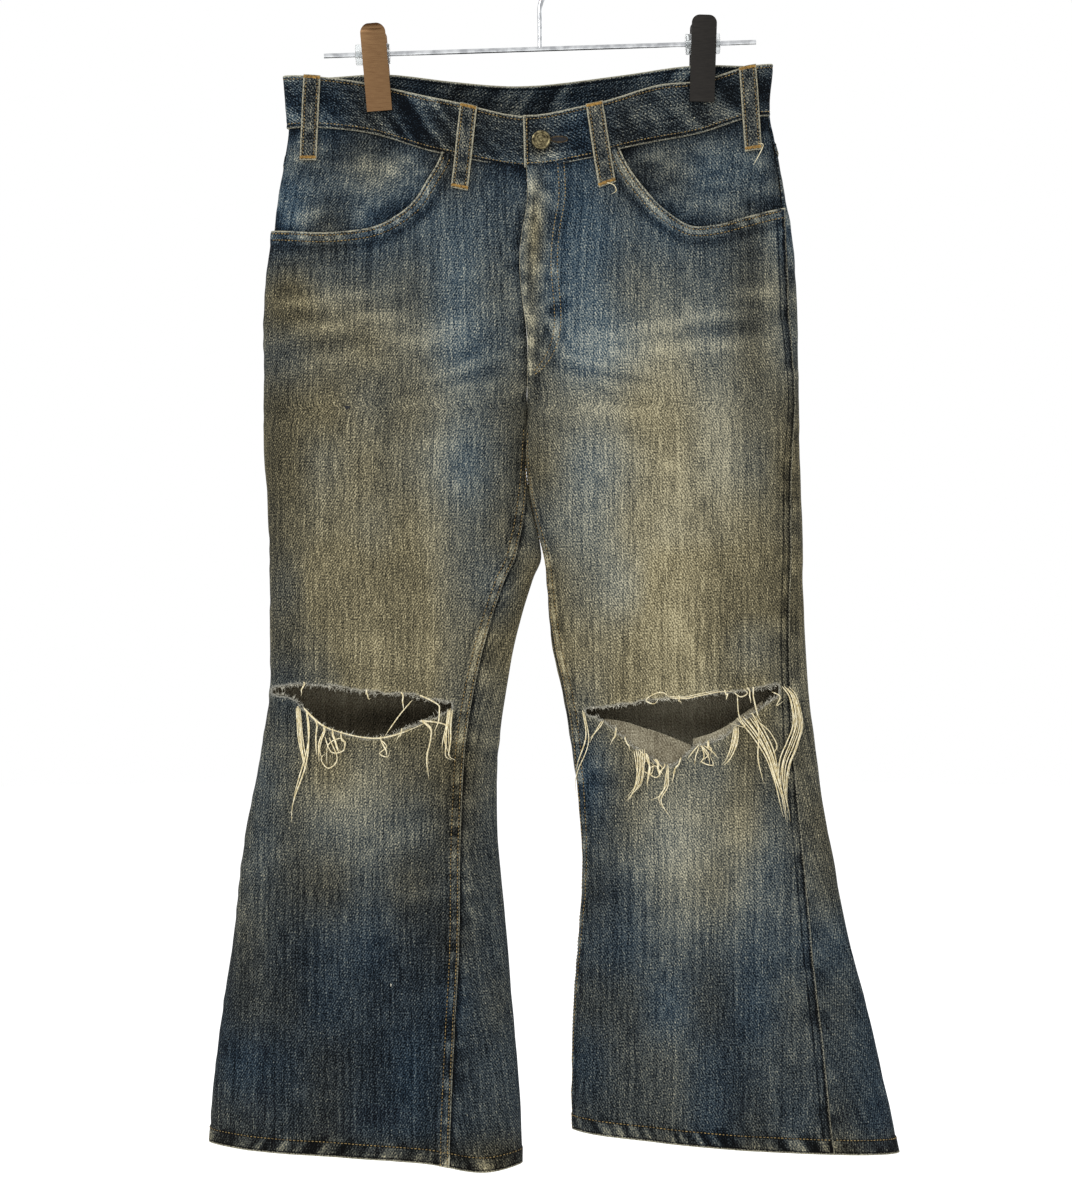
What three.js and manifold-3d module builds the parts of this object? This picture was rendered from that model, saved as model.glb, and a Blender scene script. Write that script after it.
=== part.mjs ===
// Flared denim jeans, clipped by the waistband to a clip hanger and hanging flat.
// Millimetres, +Z up, +X to the viewer's right, and the front of the jeans faces -Y.
// The origin is the point inside the hanger's hook that rests on the rail.
// "right" and "left" in names are the wearer's, so the right leg is on the viewer's left.
import * as THREE from 'three';
import { mergeVertices } from 'three/addons/utils/BufferGeometryUtils.js';
import Module from 'manifold-3d';

const wasm = await Module();
wasm.setup();

// Cloth
const DENIM = 1.5;
const BAND = 2.8; // the waistband is two layers
const LOOP = 1.8; // a belt loop is folded denim
const SEAM_GAP = 0.3; // between neighbouring pieces
const BAND_GAP = 0.5; // under the waistband
const HEM_DEPTH = 14;
const HEM_EXTRA = 0.7; // how far the turned hem stands out, on each side of the wall

// Heights below the hook
const BAND_TOP = -121;
const BAND_SEAM = -165;
const HIP = -320; // the crotch seam starts to turn in here
const CROTCH = -419;
const FLY_END = -338;

// Sections of the hips. left and right are the side folds, centre is the fly line, front and back
// are how far the cloth stands from the middle plane. outRight and outLeft are where the outseams
// lie round the section, in degrees: 0 is the viewer's right fold, 90 the front, 180 the left fold.
const HIP_ROWS = [
  { z: -121, left: -226, right: 205, centre: -13, front: 23, back: 31, outRight: 186, outLeft: 3 },
  { z: -165, left: -222.6, right: 202, centre: -12, front: 25, back: 33, outRight: 186, outLeft: 4 },
  { z: -197, left: -227, right: 208.6, centre: -11, front: 28, back: 37, outRight: 186, outLeft: 6 },
  { z: -232, left: -233.2, right: 214.7, centre: -16, front: 31, back: 42, outRight: 187, outLeft: 8 },
  { z: -267, left: -236.7, right: 220.9, centre: -18, front: 33, back: 46, outRight: 187, outLeft: 12 },
  { z: -302, left: -241.1, right: 224.4, centre: -16, front: 35, back: 49, outRight: 187, outLeft: 14 },
  { z: -355, left: -242.9, right: 227, centre: -11, front: 37, back: 48, outRight: 187, outLeft: 15 },
  { z: -419, left: -243.5, right: 227.9, centre: -11.5, front: 39, back: 44, outRight: 187, outLeft: 16 },
];

// Sections of each leg. in is the inseam's place round the section, out the outseam's.
const LEG_ROWS = {
  right: [
    { z: -419, left: -243.5, right: -11.8, front: 39, back: 44, in: 0, out: 187 },
    { z: -452, left: -242.9, right: -14.3, front: 38, back: 43, in: 0, out: 187 },
    { z: -496, left: -240.2, right: -9, front: 36, back: 40, in: 16, out: 188 },
    { z: -531, left: -238.5, right: -1.1, front: 34, back: 37, in: 31, out: 189 },
    { z: -549, left: -238, right: 0.6, front: 33, back: 36, in: 36, out: 189 },
    { z: -566, left: -237.6, right: -6, front: 32, back: 35, in: 38, out: 190 },
    { z: -619, left: -237.6, right: -21.1, front: 30, back: 32, in: 41, out: 190 },
    { z: -663, left: -238, right: -29.9, front: 28, back: 30, in: 43, out: 191 },
    { z: -707, left: -243.8, right: -36.1, front: 28, back: 29, in: 43.5, out: 191 },
    { z: -760, left: -253.4, right: -37.8, front: 28, back: 30, in: 44, out: 191 },
    { z: -813, left: -262.2, right: -35.2, front: 30, back: 31, in: 46, out: 192 },
    { z: -883, left: -269.3, right: -29, front: 32, back: 33, in: 49, out: 193 },
    { z: -954, left: -279.8, right: -22.9, front: 34, back: 36, in: 53, out: 194 },
    { z: -1024, left: -287.8, right: -16.7, front: 36, back: 39, in: 56.5, out: 195 },
    { z: -1067, left: -290.2, right: -15, front: 38, back: 41, in: 57.5, out: 195 },
  ],
  left: [
    { z: -419, left: -11.2, right: 227.9, front: 39, back: 44, in: 180, out: 16 },
    { z: -452, left: -12.1, right: 228.8, front: 38, back: 43, in: 180, out: 21 },
    { z: -496, left: -6.9, right: 230.1, front: 36, back: 40, in: 180, out: 24 },
    { z: -531, left: 1.1, right: 231.4, front: 34, back: 37, in: 178, out: 26 },
    { z: -549, left: 4.4, right: 231.4, front: 33, back: 36, in: 176, out: 26 },
    { z: -566, left: 5.3, right: 231.4, front: 32, back: 35, in: 174, out: 27 },
    { z: -619, left: 10.1, right: 233.2, front: 30, back: 32, in: 170, out: 30 },
    { z: -663, left: 18.9, right: 235.8, front: 28, back: 30, in: 168, out: 32 },
    { z: -707, left: 26.4, right: 241.1, front: 28, back: 29, in: 168, out: 36 },
    { z: -760, left: 33.4, right: 248.2, front: 28, back: 30, in: 174, out: 38 },
    { z: -813, left: 37.8, right: 258.7, front: 30, back: 31, in: 180, out: 42 },
    { z: -883, left: 34.3, right: 272.8, front: 32, back: 33, in: 184, out: 46 },
    { z: -954, left: 29.9, right: 292.2, front: 34, back: 36, in: 186, out: 50.5 },
    { z: -1024, left: 28.2, right: 309.8, front: 36, back: 39, in: 188, out: 54 },
    { z: -1053, left: 29.5, right: 316.5, front: 38, back: 41, in: 188, out: 55 },
  ],
};
const HEM_SLOPE = { right: -0.055, left: -0.071 }; // the hems hang a little askew
const HEM_SKEW_FROM = -760;

// The waistband's top edge and its seam, which sag between the two clips.
const FRONT_EDGE = [
  { x: -226, top: -122.9, seam: -167.8 },
  { x: -195, top: -125, seam: -168 },
  { x: -144, top: -131, seam: -173 },
  { x: -88, top: -146, seam: -192 },
  { x: -15, top: -162, seam: -206 },
  { x: 45, top: -152, seam: -197.5 },
  { x: 65, top: -146.5, seam: -190.5 },
  { x: 105, top: -132.5, seam: -180 },
  { x: 141, top: -127, seam: -171.5 },
  { x: 180, top: -116, seam: -159.5 },
  { x: 205, top: -112.3, seam: -156 },
];
const BACK_EDGE = [
  { x: -226, top: -122.9, seam: -167.8 },
  { x: -144, top: -121, seam: -166 },
  { x: -80, top: -122.5, seam: -167 },
  { x: -13, top: -125, seam: -170 },
  { x: 70, top: -117, seam: -162 },
  { x: 141, top: -113, seam: -157 },
  { x: 205, top: -112.3, seam: -156 },
];

// The clips pinch the front and back of the waistband together.
const CLIP_X = { right: -141, left: 142 };
const PINCH = 0.87; // the share of the depth that a clip takes away
const PINCH_WIDTH = 50;
const PINCH_END = -310;

// The largest folds: soft ridges (or troughs, where height is below 0) on the front or the back.
// turn is the angle of the fold's length from upright, in degrees.
const FOLDS = [
  { face: 'front', x: -135, z: -235, turn: 8, length: 70, width: 16, height: 2.5 },
  { face: 'front', x: 138, z: -225, turn: -6, length: 70, width: 16, height: 2.5 },
  { face: 'front', x: -60, z: -330, turn: 62, length: 60, width: 15, height: -2.5 },
  { face: 'front', x: 55, z: -345, turn: -60, length: 60, width: 15, height: -2.5 },
  { face: 'front', x: -195, z: -320, turn: 76, length: 50, width: 14, height: -2 },
  { face: 'front', x: 190, z: -330, turn: -74, length: 45, width: 14, height: -2 },
  { face: 'front', x: -150, z: -585, turn: 4, length: 110, width: 30, height: 2.5 },
  { face: 'front', x: 150, z: -590, turn: -5, length: 100, width: 30, height: 2.5 },
  { face: 'front', x: -228, z: -930, turn: 8, length: 150, width: 20, height: 3.5 },
  { face: 'front', x: -180, z: -960, turn: 3, length: 140, width: 20, height: -3.5 },
  { face: 'front', x: -115, z: -940, turn: -3, length: 150, width: 22, height: 3 },
  { face: 'front', x: 100, z: -945, turn: 6, length: 150, width: 22, height: -3.5 },
  { face: 'front', x: 165, z: -950, turn: -2, length: 150, width: 24, height: 3.5 },
  { face: 'front', x: 262, z: -900, turn: -13, length: 120, width: 16, height: -3.5 },
  { face: 'back', x: -130, z: -400, turn: 60, length: 70, width: 18, height: -4 },
  { face: 'back', x: 110, z: -405, turn: -62, length: 70, width: 18, height: -4 },
  { face: 'back', x: -140, z: -690, turn: 82, length: 60, width: 15, height: 3.5 },
  { face: 'back', x: 130, z: -700, turn: -80, length: 60, width: 15, height: 3.5 },
  { face: 'back', x: -170, z: -930, turn: 5, length: 150, width: 24, height: -4 },
  { face: 'back', x: 190, z: -930, turn: -7, length: 150, width: 24, height: -4 },
];

// The scoop pockets' edges, from the waistband's seam to the outseam.
const SCOOP = {
  right: [
    { x: -82, z: -170 },
    { x: -86.2, z: -196.7 },
    { x: -97.5, z: -216.7 },
    { x: -109.7, z: -235.9 },
    { x: -127.1, z: -249.8 },
    { x: -144.1, z: -258.5 },
    { x: -166.5, z: -262.5 },
    { x: -192.9, z: -263.6 },
    { x: -219.5, z: -261.4 },
    { x: -275, z: -256 },
  ],
  left: [
    { x: 62, z: -165 },
    { x: 69.6, z: -192.4 },
    { x: 78.8, z: -210.6 },
    { x: 93.1, z: -228.9 },
    { x: 107, z: -242.8 },
    { x: 130.5, z: -257.6 },
    { x: 151.6, z: -256.9 },
    { x: 178.9, z: -249.7 },
    { x: 211.3, z: -240.8 },
    { x: 260, z: -230 },
  ],
};

// The rips over the knees: the cloth's upper and lower torn edges.
const RIP = {
  right: [
    { x: -235, top: -661.5, bottom: -665.5 },
    { x: -214, top: -657.5, bottom: -671 },
    { x: -192, top: -657.7, bottom: -692 },
    { x: -166, top: -661.5, bottom: -701 },
    { x: -138, top: -664.5, bottom: -704 },
    { x: -115, top: -666, bottom: -695 },
    { x: -96, top: -670, bottom: -687.5 },
    { x: -77, top: -672.7, bottom: -680 },
  ],
  left: [
    { x: 40, top: -678.5, bottom: -683.5 },
    { x: 60, top: -676.3, bottom: -692 },
    { x: 81, top: -673.3, bottom: -711 },
    { x: 104, top: -670, bottom: -726 },
    { x: 115, top: -669, bottom: -728 },
    { x: 133, top: -667.5, bottom: -712.5 },
    { x: 156, top: -664, bottom: -704 },
    { x: 178, top: -662, bottom: -688 },
    { x: 193, top: -660.5, bottom: -677.5 },
    { x: 208, top: -657.5, bottom: -667 },
  ],
};
const FRAY_STRIP = { width: 2.2, thick: 1, gap: 0.5 };
const STRAND_RADIUS = 0.8;
const STRAND_STEP = 5.5;
const STRAND_SWAY = { side: 1.6, depth: 0.5 };
const STRAND_CLEAR = { bottom: 2.7, top: 5.8 }; // from the cloth's face to a strand's middle

// Loose threads: where each leaves the torn edge, how long it hangs and how far it drifts sideways.
const THREADS = {
  fray_right_top: [
    { x: -90, length: 36, drift: 1 },
    { x: -103, length: 24, drift: -14 },
    { x: -120, length: 14, drift: 4 },
    { x: -205, length: 10, drift: -2 },
    { x: -150, length: 7, drift: 2 },
  ],
  fray_right_bottom: [
    { x: -214, length: 66, drift: 8 },
    { x: -203, length: 96, drift: -9 },
    { x: -196, length: 32, drift: 5 },
    { x: -188, length: 30, drift: -4 },
    { x: -180, length: 22, drift: 6 },
    { x: -172, length: 12, drift: 3 },
    { x: -138, length: 16, drift: 5 },
    { x: -120, length: 8, drift: -3 },
    { x: -98, length: 50, drift: 3 },
    { x: -84, length: 44, drift: 2 },
    { x: -79, length: 38, drift: 9 },
  ],
  fray_left_top: [
    { x: 52, length: 24, drift: -10 },
    { x: 160, length: 7, drift: 2 },
    { x: 174, length: 30, drift: -14 },
    { x: 180, length: 12, drift: 5 },
    { x: 185, length: 42, drift: 5 },
  ],
  fray_left_bottom: [
    { x: 43, length: 84, drift: -6 },
    { x: 62, length: 12, drift: -8 },
    { x: 86, length: 46, drift: -7 },
    { x: 92, length: 30, drift: 3 },
    { x: 100, length: 14, drift: 6 },
    { x: 108, length: 10, drift: -5 },
    { x: 117, length: 42, drift: 2 },
    { x: 122, length: 30, drift: -14 },
    { x: 146, length: 10, drift: 2 },
    { x: 172, length: 44, drift: -11 },
    { x: 177, length: 66, drift: 19 },
    { x: 181, length: 98, drift: 25 },
    { x: 184, length: 106, drift: 27 },
    { x: 185, length: 60, drift: 33 },
  ],
};

// Belt loops: x at the top and the bottom end.
const LOOP_WIDTH = 14.5;
const LOOP_LENGTH = 76;
const LOOPS = [
  { face: 'front', x: -199.5, foot: -203 },
  { face: 'front', x: -61.8, foot: -70 },
  { face: 'front', x: 46.9, foot: 58.3 },
  { face: 'front', x: 182, foot: 187 },
  { face: 'back', x: 108, foot: 110 },
  { face: 'back', x: -12, foot: -12 },
  { face: 'back', x: -112, foot: -115 },
];

const LOOP_LIFT = { band: 1, front: 0.4, back: 1.1, over: 16 }; // off the cloth: on the band, and at the foot

const BACK_POCKET = {
  top: -244, side: -352, tip: -374, half: 71, taper: 8, middle: { right: -125, left: 106 },
};
const LAYER_GAP = 0.4; // between a panel and what lies on it
const YOKE = { middle: 62, side: 34 }; // its depth at the centre back and at the outseams
const FACING = { under: 22, clear: { right: 1.5, left: -1.2 }, short: { right: 0, left: 0.06 } };
const TAPE = { back: 15, front: 16, thick: 1 }; // from the fly line, and how thick the zip's tape is
const SHIELD_FRONT = 34;

// The waistband runs from its tucked end, at these degrees round the waist, to its buttoned end.
const WAIST = { start: 81, end: 450.5, tuckedTo: 91, outFrom: 101, lift: 0.6, columns: 92 };

// The button's section: distance from its middle and height off its back.
const BUTTON = { x: 0.9, drop: 1, gap: 0.6, sides: 16 };
const BUTTON_ROWS = [
  { radius: 0, height: 0 },
  { radius: 6.5, height: 0 },
  { radius: 8.1, height: 0.6 },
  { radius: 8.5, height: 1.5 },
  { radius: 8, height: 2.4 },
  { radius: 7, height: 2.8 },
  { radius: 5.4, height: 2.2 },
  { radius: 3, height: 2.3 },
  { radius: 1.6, height: 3.2 },
  { radius: 0, height: 3.4 },
];

// The hanger
const ROD = 2.2; // radius of its wire
const BAR = { half: 190, middle: -99.3, slope: 0.032 };
const HOOK_RADIUS = 20;
const HOOK_ANGLES = [200, 175, 150, 120, 90, 60, 30, 0, -28]; // round the rail's middle, from the open end
const SHANK = [
  { x: 13, z: -42 },
  { x: 4, z: -52 },
  { x: 0, z: -62 },
  { x: 0, z: -80 },
  { x: 0, z: BAR.middle + 0.4 },
];
const CLIP = {
  width: 22, length: 75, thick: 1.6, round: 7, cut: 1,
  front: { jaw: 4.3, lean: 5.8 }, back: { jaw: 5.3, lean: 4.7 },
};
const CLIPS = [
  { name: 'right', x: -140.8, bottom: -154.6, tilt: -4.7, hub: -147 },
  { name: 'left', x: 142.1, bottom: -146.6, tilt: 1.4, hub: 143 },
];
const HUB = { radius: 9, bore: ROD + SEAM_GAP, length: 30, rim: 1, sides: 24 };

const COLOURS = {
  denim: 0x4a5868, faded: 0x6c7263, inside: 0x2f3942, thread: 0xd8cba0, brass: 0x8f8768,
  bronze: 0x8a6f50, dark: 0x3a3632, steel: 0xb9bcc0, clear: 0xd9dcdf,
};

const degrees = THREE.MathUtils.degToRad;
const mix = THREE.MathUtils.lerp;

// Reads a table at a value of one of its columns, with smooth steps between its rows.
function read(table, key, value, column) {
  const rising = table[table.length - 1][key] > table[0][key];
  let i = 0;
  while (i < table.length - 2 && (rising ? value > table[i + 1][key] : value < table[i + 1][key])) i += 1;
  const span = (value - table[i][key]) / (table[i + 1][key] - table[i][key]);
  const t = Math.min(Math.max(span, 0), 1);
  const at = (k) => table[Math.min(Math.max(k, 0), table.length - 1)];
  const slope = (k) => {
    const before = at(k - 1);
    const after = at(k + 1);
    return (after[column] - before[column]) / (after[key] - before[key]);
  };
  const width = table[i + 1][key] - table[i][key];
  const a = at(i)[column];
  const b = at(i + 1)[column];
  const t2 = t * t;
  const t3 = t2 * t;
  return (2 * t3 - 3 * t2 + 1) * a + (t3 - 2 * t2 + t) * width * slope(i)
    + (-2 * t3 + 3 * t2) * b + (t3 - t2) * width * slope(i + 1);
}

// How much of the section's depth the clips take away at a place on the hips.
function pinch(x, z) {
  const fade = THREE.MathUtils.smoothstep(z, PINCH_END, BAND_SEAM);
  const near = (clip) => Math.exp(-(((x - clip) / PINCH_WIDTH) ** 2));
  return 1 - PINCH * fade * (near(CLIP_X.right) + near(CLIP_X.left));
}

function hipPoint(z, angle) {
  const row = (column) => read(HIP_ROWS, 'z', z, column);
  const c = Math.cos(degrees(angle));
  const s = Math.sin(degrees(angle));
  const half = c > 0 ? row('right') - row('centre') : row('centre') - row('left');
  const x = row('centre') + half * c;
  const y = -s * row(s > 0 ? 'front' : 'back') * pinch(x, z);
  const edges = s > 0 ? FRONT_EDGE : BACK_EDGE;
  const top = read(edges, 'x', x, 'top');
  const seam = read(edges, 'x', x, 'seam');
  if (z > BAND_SEAM) {
    return [x, y, mix(seam, top, (z - BAND_SEAM) / (BAND_TOP - BAND_SEAM))];
  }
  return [x, y, z + (seam - BAND_SEAM) * THREE.MathUtils.smoothstep(z, CROTCH, BAND_SEAM)];
}

function legPoint(side, z, angle) {
  const row = (column) => read(LEG_ROWS[side], 'z', z, column);
  const middle = (row('left') + row('right')) / 2;
  const s = Math.sin(degrees(angle));
  const x = middle + ((row('right') - row('left')) / 2) * Math.cos(degrees(angle));
  const hem = LEG_ROWS[side][LEG_ROWS[side].length - 1].z;
  const skew = THREE.MathUtils.smoothstep(-z, -HEM_SKEW_FROM, -hem) * HEM_SLOPE[side];
  return [x, -s * row(s > 0 ? 'front' : 'back'), z + skew * (x - middle)];
}

// How far the cloth stands out of its plain section at a place.
function foldHeight(face, x, z) {
  let height = 0;
  for (const fold of FOLDS) {
    if (fold.face !== face) continue;
    const a = degrees(fold.turn);
    const along = (z - fold.z) * Math.cos(a) + (x - fold.x) * Math.sin(a);
    const across = (x - fold.x) * Math.cos(a) - (z - fold.z) * Math.sin(a);
    height += fold.height * Math.exp(-((along / fold.length) ** 2) - (across / fold.width) ** 2);
  }
  return height;
}

// Moves a point of the plain surface out by the folds, which die out at the side folds.
function folded(p) {
  const face = p.y < 0 ? 'front' : 'back';
  const share = Math.min(1, Math.abs(p.y) / 12);
  p.y += foldHeight(face, p.x, p.z) * share * (p.y < 0 ? -1 : 1);
  return p;
}

// The outer face of a panel. s runs from the centre seam and the inseam (0) to the outseam (1).
// z is the height before the waist's sag and the hem's skew.
const PANELS = {
  front_right: { side: 'right', hipIn: 90, inTurn: 0, outer: 'outRight', outTurn: 0, out: 1 },
  front_left: { side: 'left', hipIn: 90, inTurn: 0, outer: 'outLeft', outTurn: 0, out: -1 },
  back_right: { side: 'right', hipIn: 270, inTurn: 360, outer: 'outRight', outTurn: 0, out: -1 },
  back_left: { side: 'left', hipIn: 270, inTurn: 0, outer: 'outLeft', outTurn: 360, out: 1 },
};

function panelPoint(name, s, z) {
  const panel = PANELS[name];
  const hipOut = read(HIP_ROWS, 'z', z, panel.outer) + panel.outTurn;
  const row = (column) => read(LEG_ROWS[panel.side], 'z', z, column);
  const legIn = row('in') + panel.inTurn;
  const legOut = row('out') + panel.outTurn;
  const u = Math.min(Math.max((HIP - z) / (HIP - CROTCH), 0), 1);
  const sharp = 1 - (1 - u * u) ** 0.7; // at the seam, where the crotch turns under
  const share = mix(sharp, THREE.MathUtils.smoothstep(u, 0, 1), THREE.MathUtils.smoothstep(s, 0, 0.4));
  const hip = hipPoint(Math.max(z, CROTCH), mix(panel.hipIn, hipOut, s));
  const leg = legPoint(panel.side, Math.min(z, CROTCH), mix(legIn, legOut, s));
  const p = new THREE.Vector3(...hip).lerp(new THREE.Vector3(...leg), share);
  if (z > CROTCH) p.z = hip[2];
  return folded(p);
}

// The direction that the cloth faces at a place, from its neighbours along s and z.
function outward(pointAt, sign, s, z) {
  const ds = 0.004;
  const dz = 0.8;
  const along = pointAt(s + ds, z).sub(pointAt(s - ds, z));
  const down = pointAt(s, z - dz).sub(pointAt(s, z + dz));
  return along.cross(down).normalize().multiplyScalar(sign);
}

// The values of s that cut a row into equal lengths, SEAM_GAP / 2 short of each end.
function evenColumns(pointAt, z, count) {
  const samples = 60;
  const lengths = [0];
  let last = pointAt(0, z);
  for (let i = 1; i <= samples; i += 1) {
    const p = pointAt(i / samples, z);
    lengths.push(lengths[i - 1] + p.distanceTo(last));
    last = p;
  }
  const total = lengths[samples];
  return Array.from({ length: count + 1 }, (_, k) => {
    const target = mix(SEAM_GAP / 2, total - SEAM_GAP / 2, k / count);
    let i = 1;
    while (i < samples && lengths[i] < target) i += 1;
    const part = (target - lengths[i - 1]) / (lengths[i] - lengths[i - 1]);
    return (i - 1 + part) / samples;
  });
}

// A closed wall between two grids of points.
function wall(outer, inner) {
  const rows = outer.length;
  const columns = outer[0].length;
  const positions = [...outer.flat(), ...inner.flat()].flatMap((p) => [p.x, p.y, p.z]);
  const index = [];
  const at = (layer, j, i) => layer * rows * columns + j * columns + i;
  const quad = (a, b, c, d) => index.push(a, b, c, a, c, d);
  for (let j = 0; j < rows - 1; j += 1) {
    for (let i = 0; i < columns - 1; i += 1) {
      quad(at(0, j, i), at(0, j + 1, i), at(0, j + 1, i + 1), at(0, j, i + 1));
      quad(at(1, j, i), at(1, j, i + 1), at(1, j + 1, i + 1), at(1, j + 1, i));
    }
  }
  for (let j = 0; j < rows - 1; j += 1) {
    quad(at(0, j, 0), at(1, j, 0), at(1, j + 1, 0), at(0, j + 1, 0));
    const i = columns - 1;
    quad(at(0, j, i), at(0, j + 1, i), at(1, j + 1, i), at(1, j, i));
  }
  for (let i = 0; i < columns - 1; i += 1) {
    quad(at(0, 0, i), at(0, 0, i + 1), at(1, 0, i + 1), at(1, 0, i));
    const j = rows - 1;
    quad(at(0, j, i), at(1, j, i), at(1, j, i + 1), at(0, j, i + 1));
  }
  const geometry = new THREE.BufferGeometry();
  geometry.setAttribute('position', new THREE.Float32BufferAttribute(positions, 3));
  geometry.setIndex(index);
  return facingOut(geometry);
}

// Turns every face of a closed geometry over where its volume comes out negative.
function facingOut(geometry) {
  const p = geometry.attributes.position;
  const index = geometry.index.array;
  const corner = (i) => new THREE.Vector3().fromBufferAttribute(p, index[i]);
  let volume = 0;
  for (let i = 0; i < index.length; i += 3) {
    volume += corner(i).dot(corner(i + 1).cross(corner(i + 2)));
  }
  if (volume < 0) {
    for (let i = 0; i < index.length; i += 3) {
      [index[i + 1], index[i + 2]] = [index[i + 2], index[i + 1]];
    }
  }
  return geometry;
}

// A piece of cloth that follows a surface. near and far are how far its faces lie outside it, and
// short is the share of its last column that is left off.
function clothGrid({ pointAt, sign, heights, columns, near, far, short = 0 }) {
  const outer = [];
  const inner = [];
  for (const height of heights) {
    const level = (s) => (typeof height === 'function' ? height(s) : height);
    const places = evenColumns(pointAt, level(0.5), columns);
    places[columns] = mix(places[columns], places[columns - 1], short);
    const face = (offset) => places.map((s) => {
      const z = level(s);
      const out = typeof offset === 'function' ? offset(s, z) : offset;
      return pointAt(s, z).addScaledVector(outward(pointAt, sign, s, z), out);
    });
    outer.push(face(far));
    inner.push(face(near));
  }
  return wall(outer, inner);
}

function solid(geometry) {
  const bare = geometry.clone();
  for (const key of Object.keys(bare.attributes)) if (key !== 'position') bare.deleteAttribute(key);
  const merged = mergeVertices(bare, 1e-4);
  return new wasm.Manifold(new wasm.Mesh({
    numProp: 3,
    vertProperties: new Float32Array(merged.attributes.position.array),
    triVerts: new Uint32Array(merged.index.array),
  }));
}

function fromSolid(manifold) {
  const mesh = manifold.getMesh();
  const geometry = new THREE.BufferGeometry();
  geometry.setAttribute('position', new THREE.Float32BufferAttribute(mesh.vertProperties, 3));
  geometry.setIndex(Array.from(mesh.triVerts));
  return geometry;
}

// A block with the given outline in x and z, through the cloth from yFrom to yTo.
function prism(outline, yFrom, yTo) {
  const shape = new THREE.Shape(outline.map(([x, z]) => new THREE.Vector2(x, z)));
  const block = new THREE.ExtrudeGeometry(shape, { depth: yTo - yFrom, bevelEnabled: false });
  block.rotateX(Math.PI / 2); // the outline's y becomes z, and the depth runs towards -Y
  return solid(block.translate(0, yTo, 0));
}

const FRONT_COLUMNS = 16;
const BACK_COLUMNS = 14;
const CUT = { front: -90, middle: -1, back: 60, behind: 90 }; // the y of cutting blocks' faces

const group = new THREE.Group();

function add(name, geometry, colour, roughness = 0.9, metalness = 0) {
  const material = new THREE.MeshStandardMaterial({ color: colour, roughness, metalness });
  const mesh = new THREE.Mesh(geometry, material);
  mesh.name = name;
  group.add(mesh);
  return mesh;
}

// Heights of a panel's rows, from its top edge to the hem.
function panelHeights(side, top) {
  const hip = [0.13, 0.3, 0.47, 0.61, 0.72, 0.81, 0.88, 0.93, 0.965, 0.985]
    .map((t) => (s) => mix(top(s), CROTCH, t));
  const legs = LEG_ROWS[side].map((row) => row.z);
  const hem = legs.pop();
  return [top, ...hip, ...legs, hem + HEM_DEPTH + 1, hem + HEM_DEPTH, hem];
}

function panel(name, top, columns) {
  const { side, out } = PANELS[name];
  const hem = LEG_ROWS[side][LEG_ROWS[side].length - 1].z;
  const extra = (z) => (z < hem + HEM_DEPTH + 0.5 ? HEM_EXTRA : 0);
  return clothGrid({
    pointAt: (s, z) => panelPoint(name, s, z),
    sign: out,
    heights: panelHeights(side, top),
    columns,
    far: (s, z) => extra(z),
    near: (s, z) => -DENIM - extra(z),
  });
}

// A layer that follows a panel's own facets over its first rows, so that it never cuts them.
function layer(name, top, columns, { rows, near, far, short }) {
  return clothGrid({
    pointAt: (s, z) => panelPoint(name, s, z),
    sign: PANELS[name].out,
    heights: panelHeights(PANELS[name].side, top).slice(0, rows),
    columns,
    near,
    far,
    short,
  });
}

function ripOutline(side) {
  const rows = RIP[side];
  const steps = 22;
  const edge = (column) => Array.from({ length: steps + 1 }, (_, i) => {
    const x = mix(rows[0].x, rows[rows.length - 1].x, i / steps);
    return [x, read(rows, 'x', x, column)];
  });
  return [...edge('top'), ...edge('bottom').reverse()];
}

function frontPanels() {
  for (const side of ['right', 'left']) {
    const cloth = solid(panel(`front_${side}`, () => BAND_SEAM - BAND_GAP, FRONT_COLUMNS));
    const scoop = SCOOP[side].map((row) => [row.x, row.z]);
    const corner = [[scoop[scoop.length - 1][0], BAND_TOP], [scoop[0][0], BAND_TOP]];
    const opening = prism([...scoop, ...corner], CUT.front, CUT.back);
    const rip = prism(ripOutline(side), CUT.front, CUT.middle);
    add(`front_${side}`, fromSolid(cloth.subtract(opening).subtract(rip)), COLOURS.denim);
  }
}

function yokeDepth(s) {
  return mix(YOKE.middle, YOKE.side, s);
}

function backPanels() {
  for (const side of ['right', 'left']) {
    const name = `back_${side}`;
    const under = (s) => BAND_SEAM - yokeDepth(s) - SEAM_GAP;
    add(name, panel(name, under, BACK_COLUMNS), COLOURS.denim);
    const rows = [0, 0.5, 1].map((t) => (s) => BAND_SEAM - BAND_GAP - t * (yokeDepth(s) - BAND_GAP));
    add(`yoke_${side}`, clothGrid({
      pointAt: (s, z) => panelPoint(name, s, z),
      sign: PANELS[name].out,
      heights: rows,
      columns: BACK_COLUMNS,
      near: -DENIM,
      far: 0,
    }), COLOURS.denim);
  }
}

// The denim that shows inside each scoop pocket, behind the front panel.
function pocketFacings() {
  for (const side of ['right', 'left']) {
    const far = -DENIM - LAYER_GAP;
    const cloth = layer(`front_${side}`, () => BAND_SEAM - BAND_GAP, FRONT_COLUMNS, {
      rows: 5, near: far - DENIM, far, short: FACING.short[side],
    });
    const inward = side === 'right' ? FACING.under : -FACING.under;
    const edge = SCOOP[side].map((row) => [row.x + inward, row.z - FACING.under]);
    const corner = [[edge[edge.length - 1][0], BAND_TOP], [edge[0][0], BAND_TOP]];
    const block = prism([...edge, ...corner], CUT.front, FACING.clear[side]); // clear of the back
    add(`pocket_facing_${side}`, fromSolid(solid(cloth).intersect(block)), COLOURS.denim);
  }
}

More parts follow.
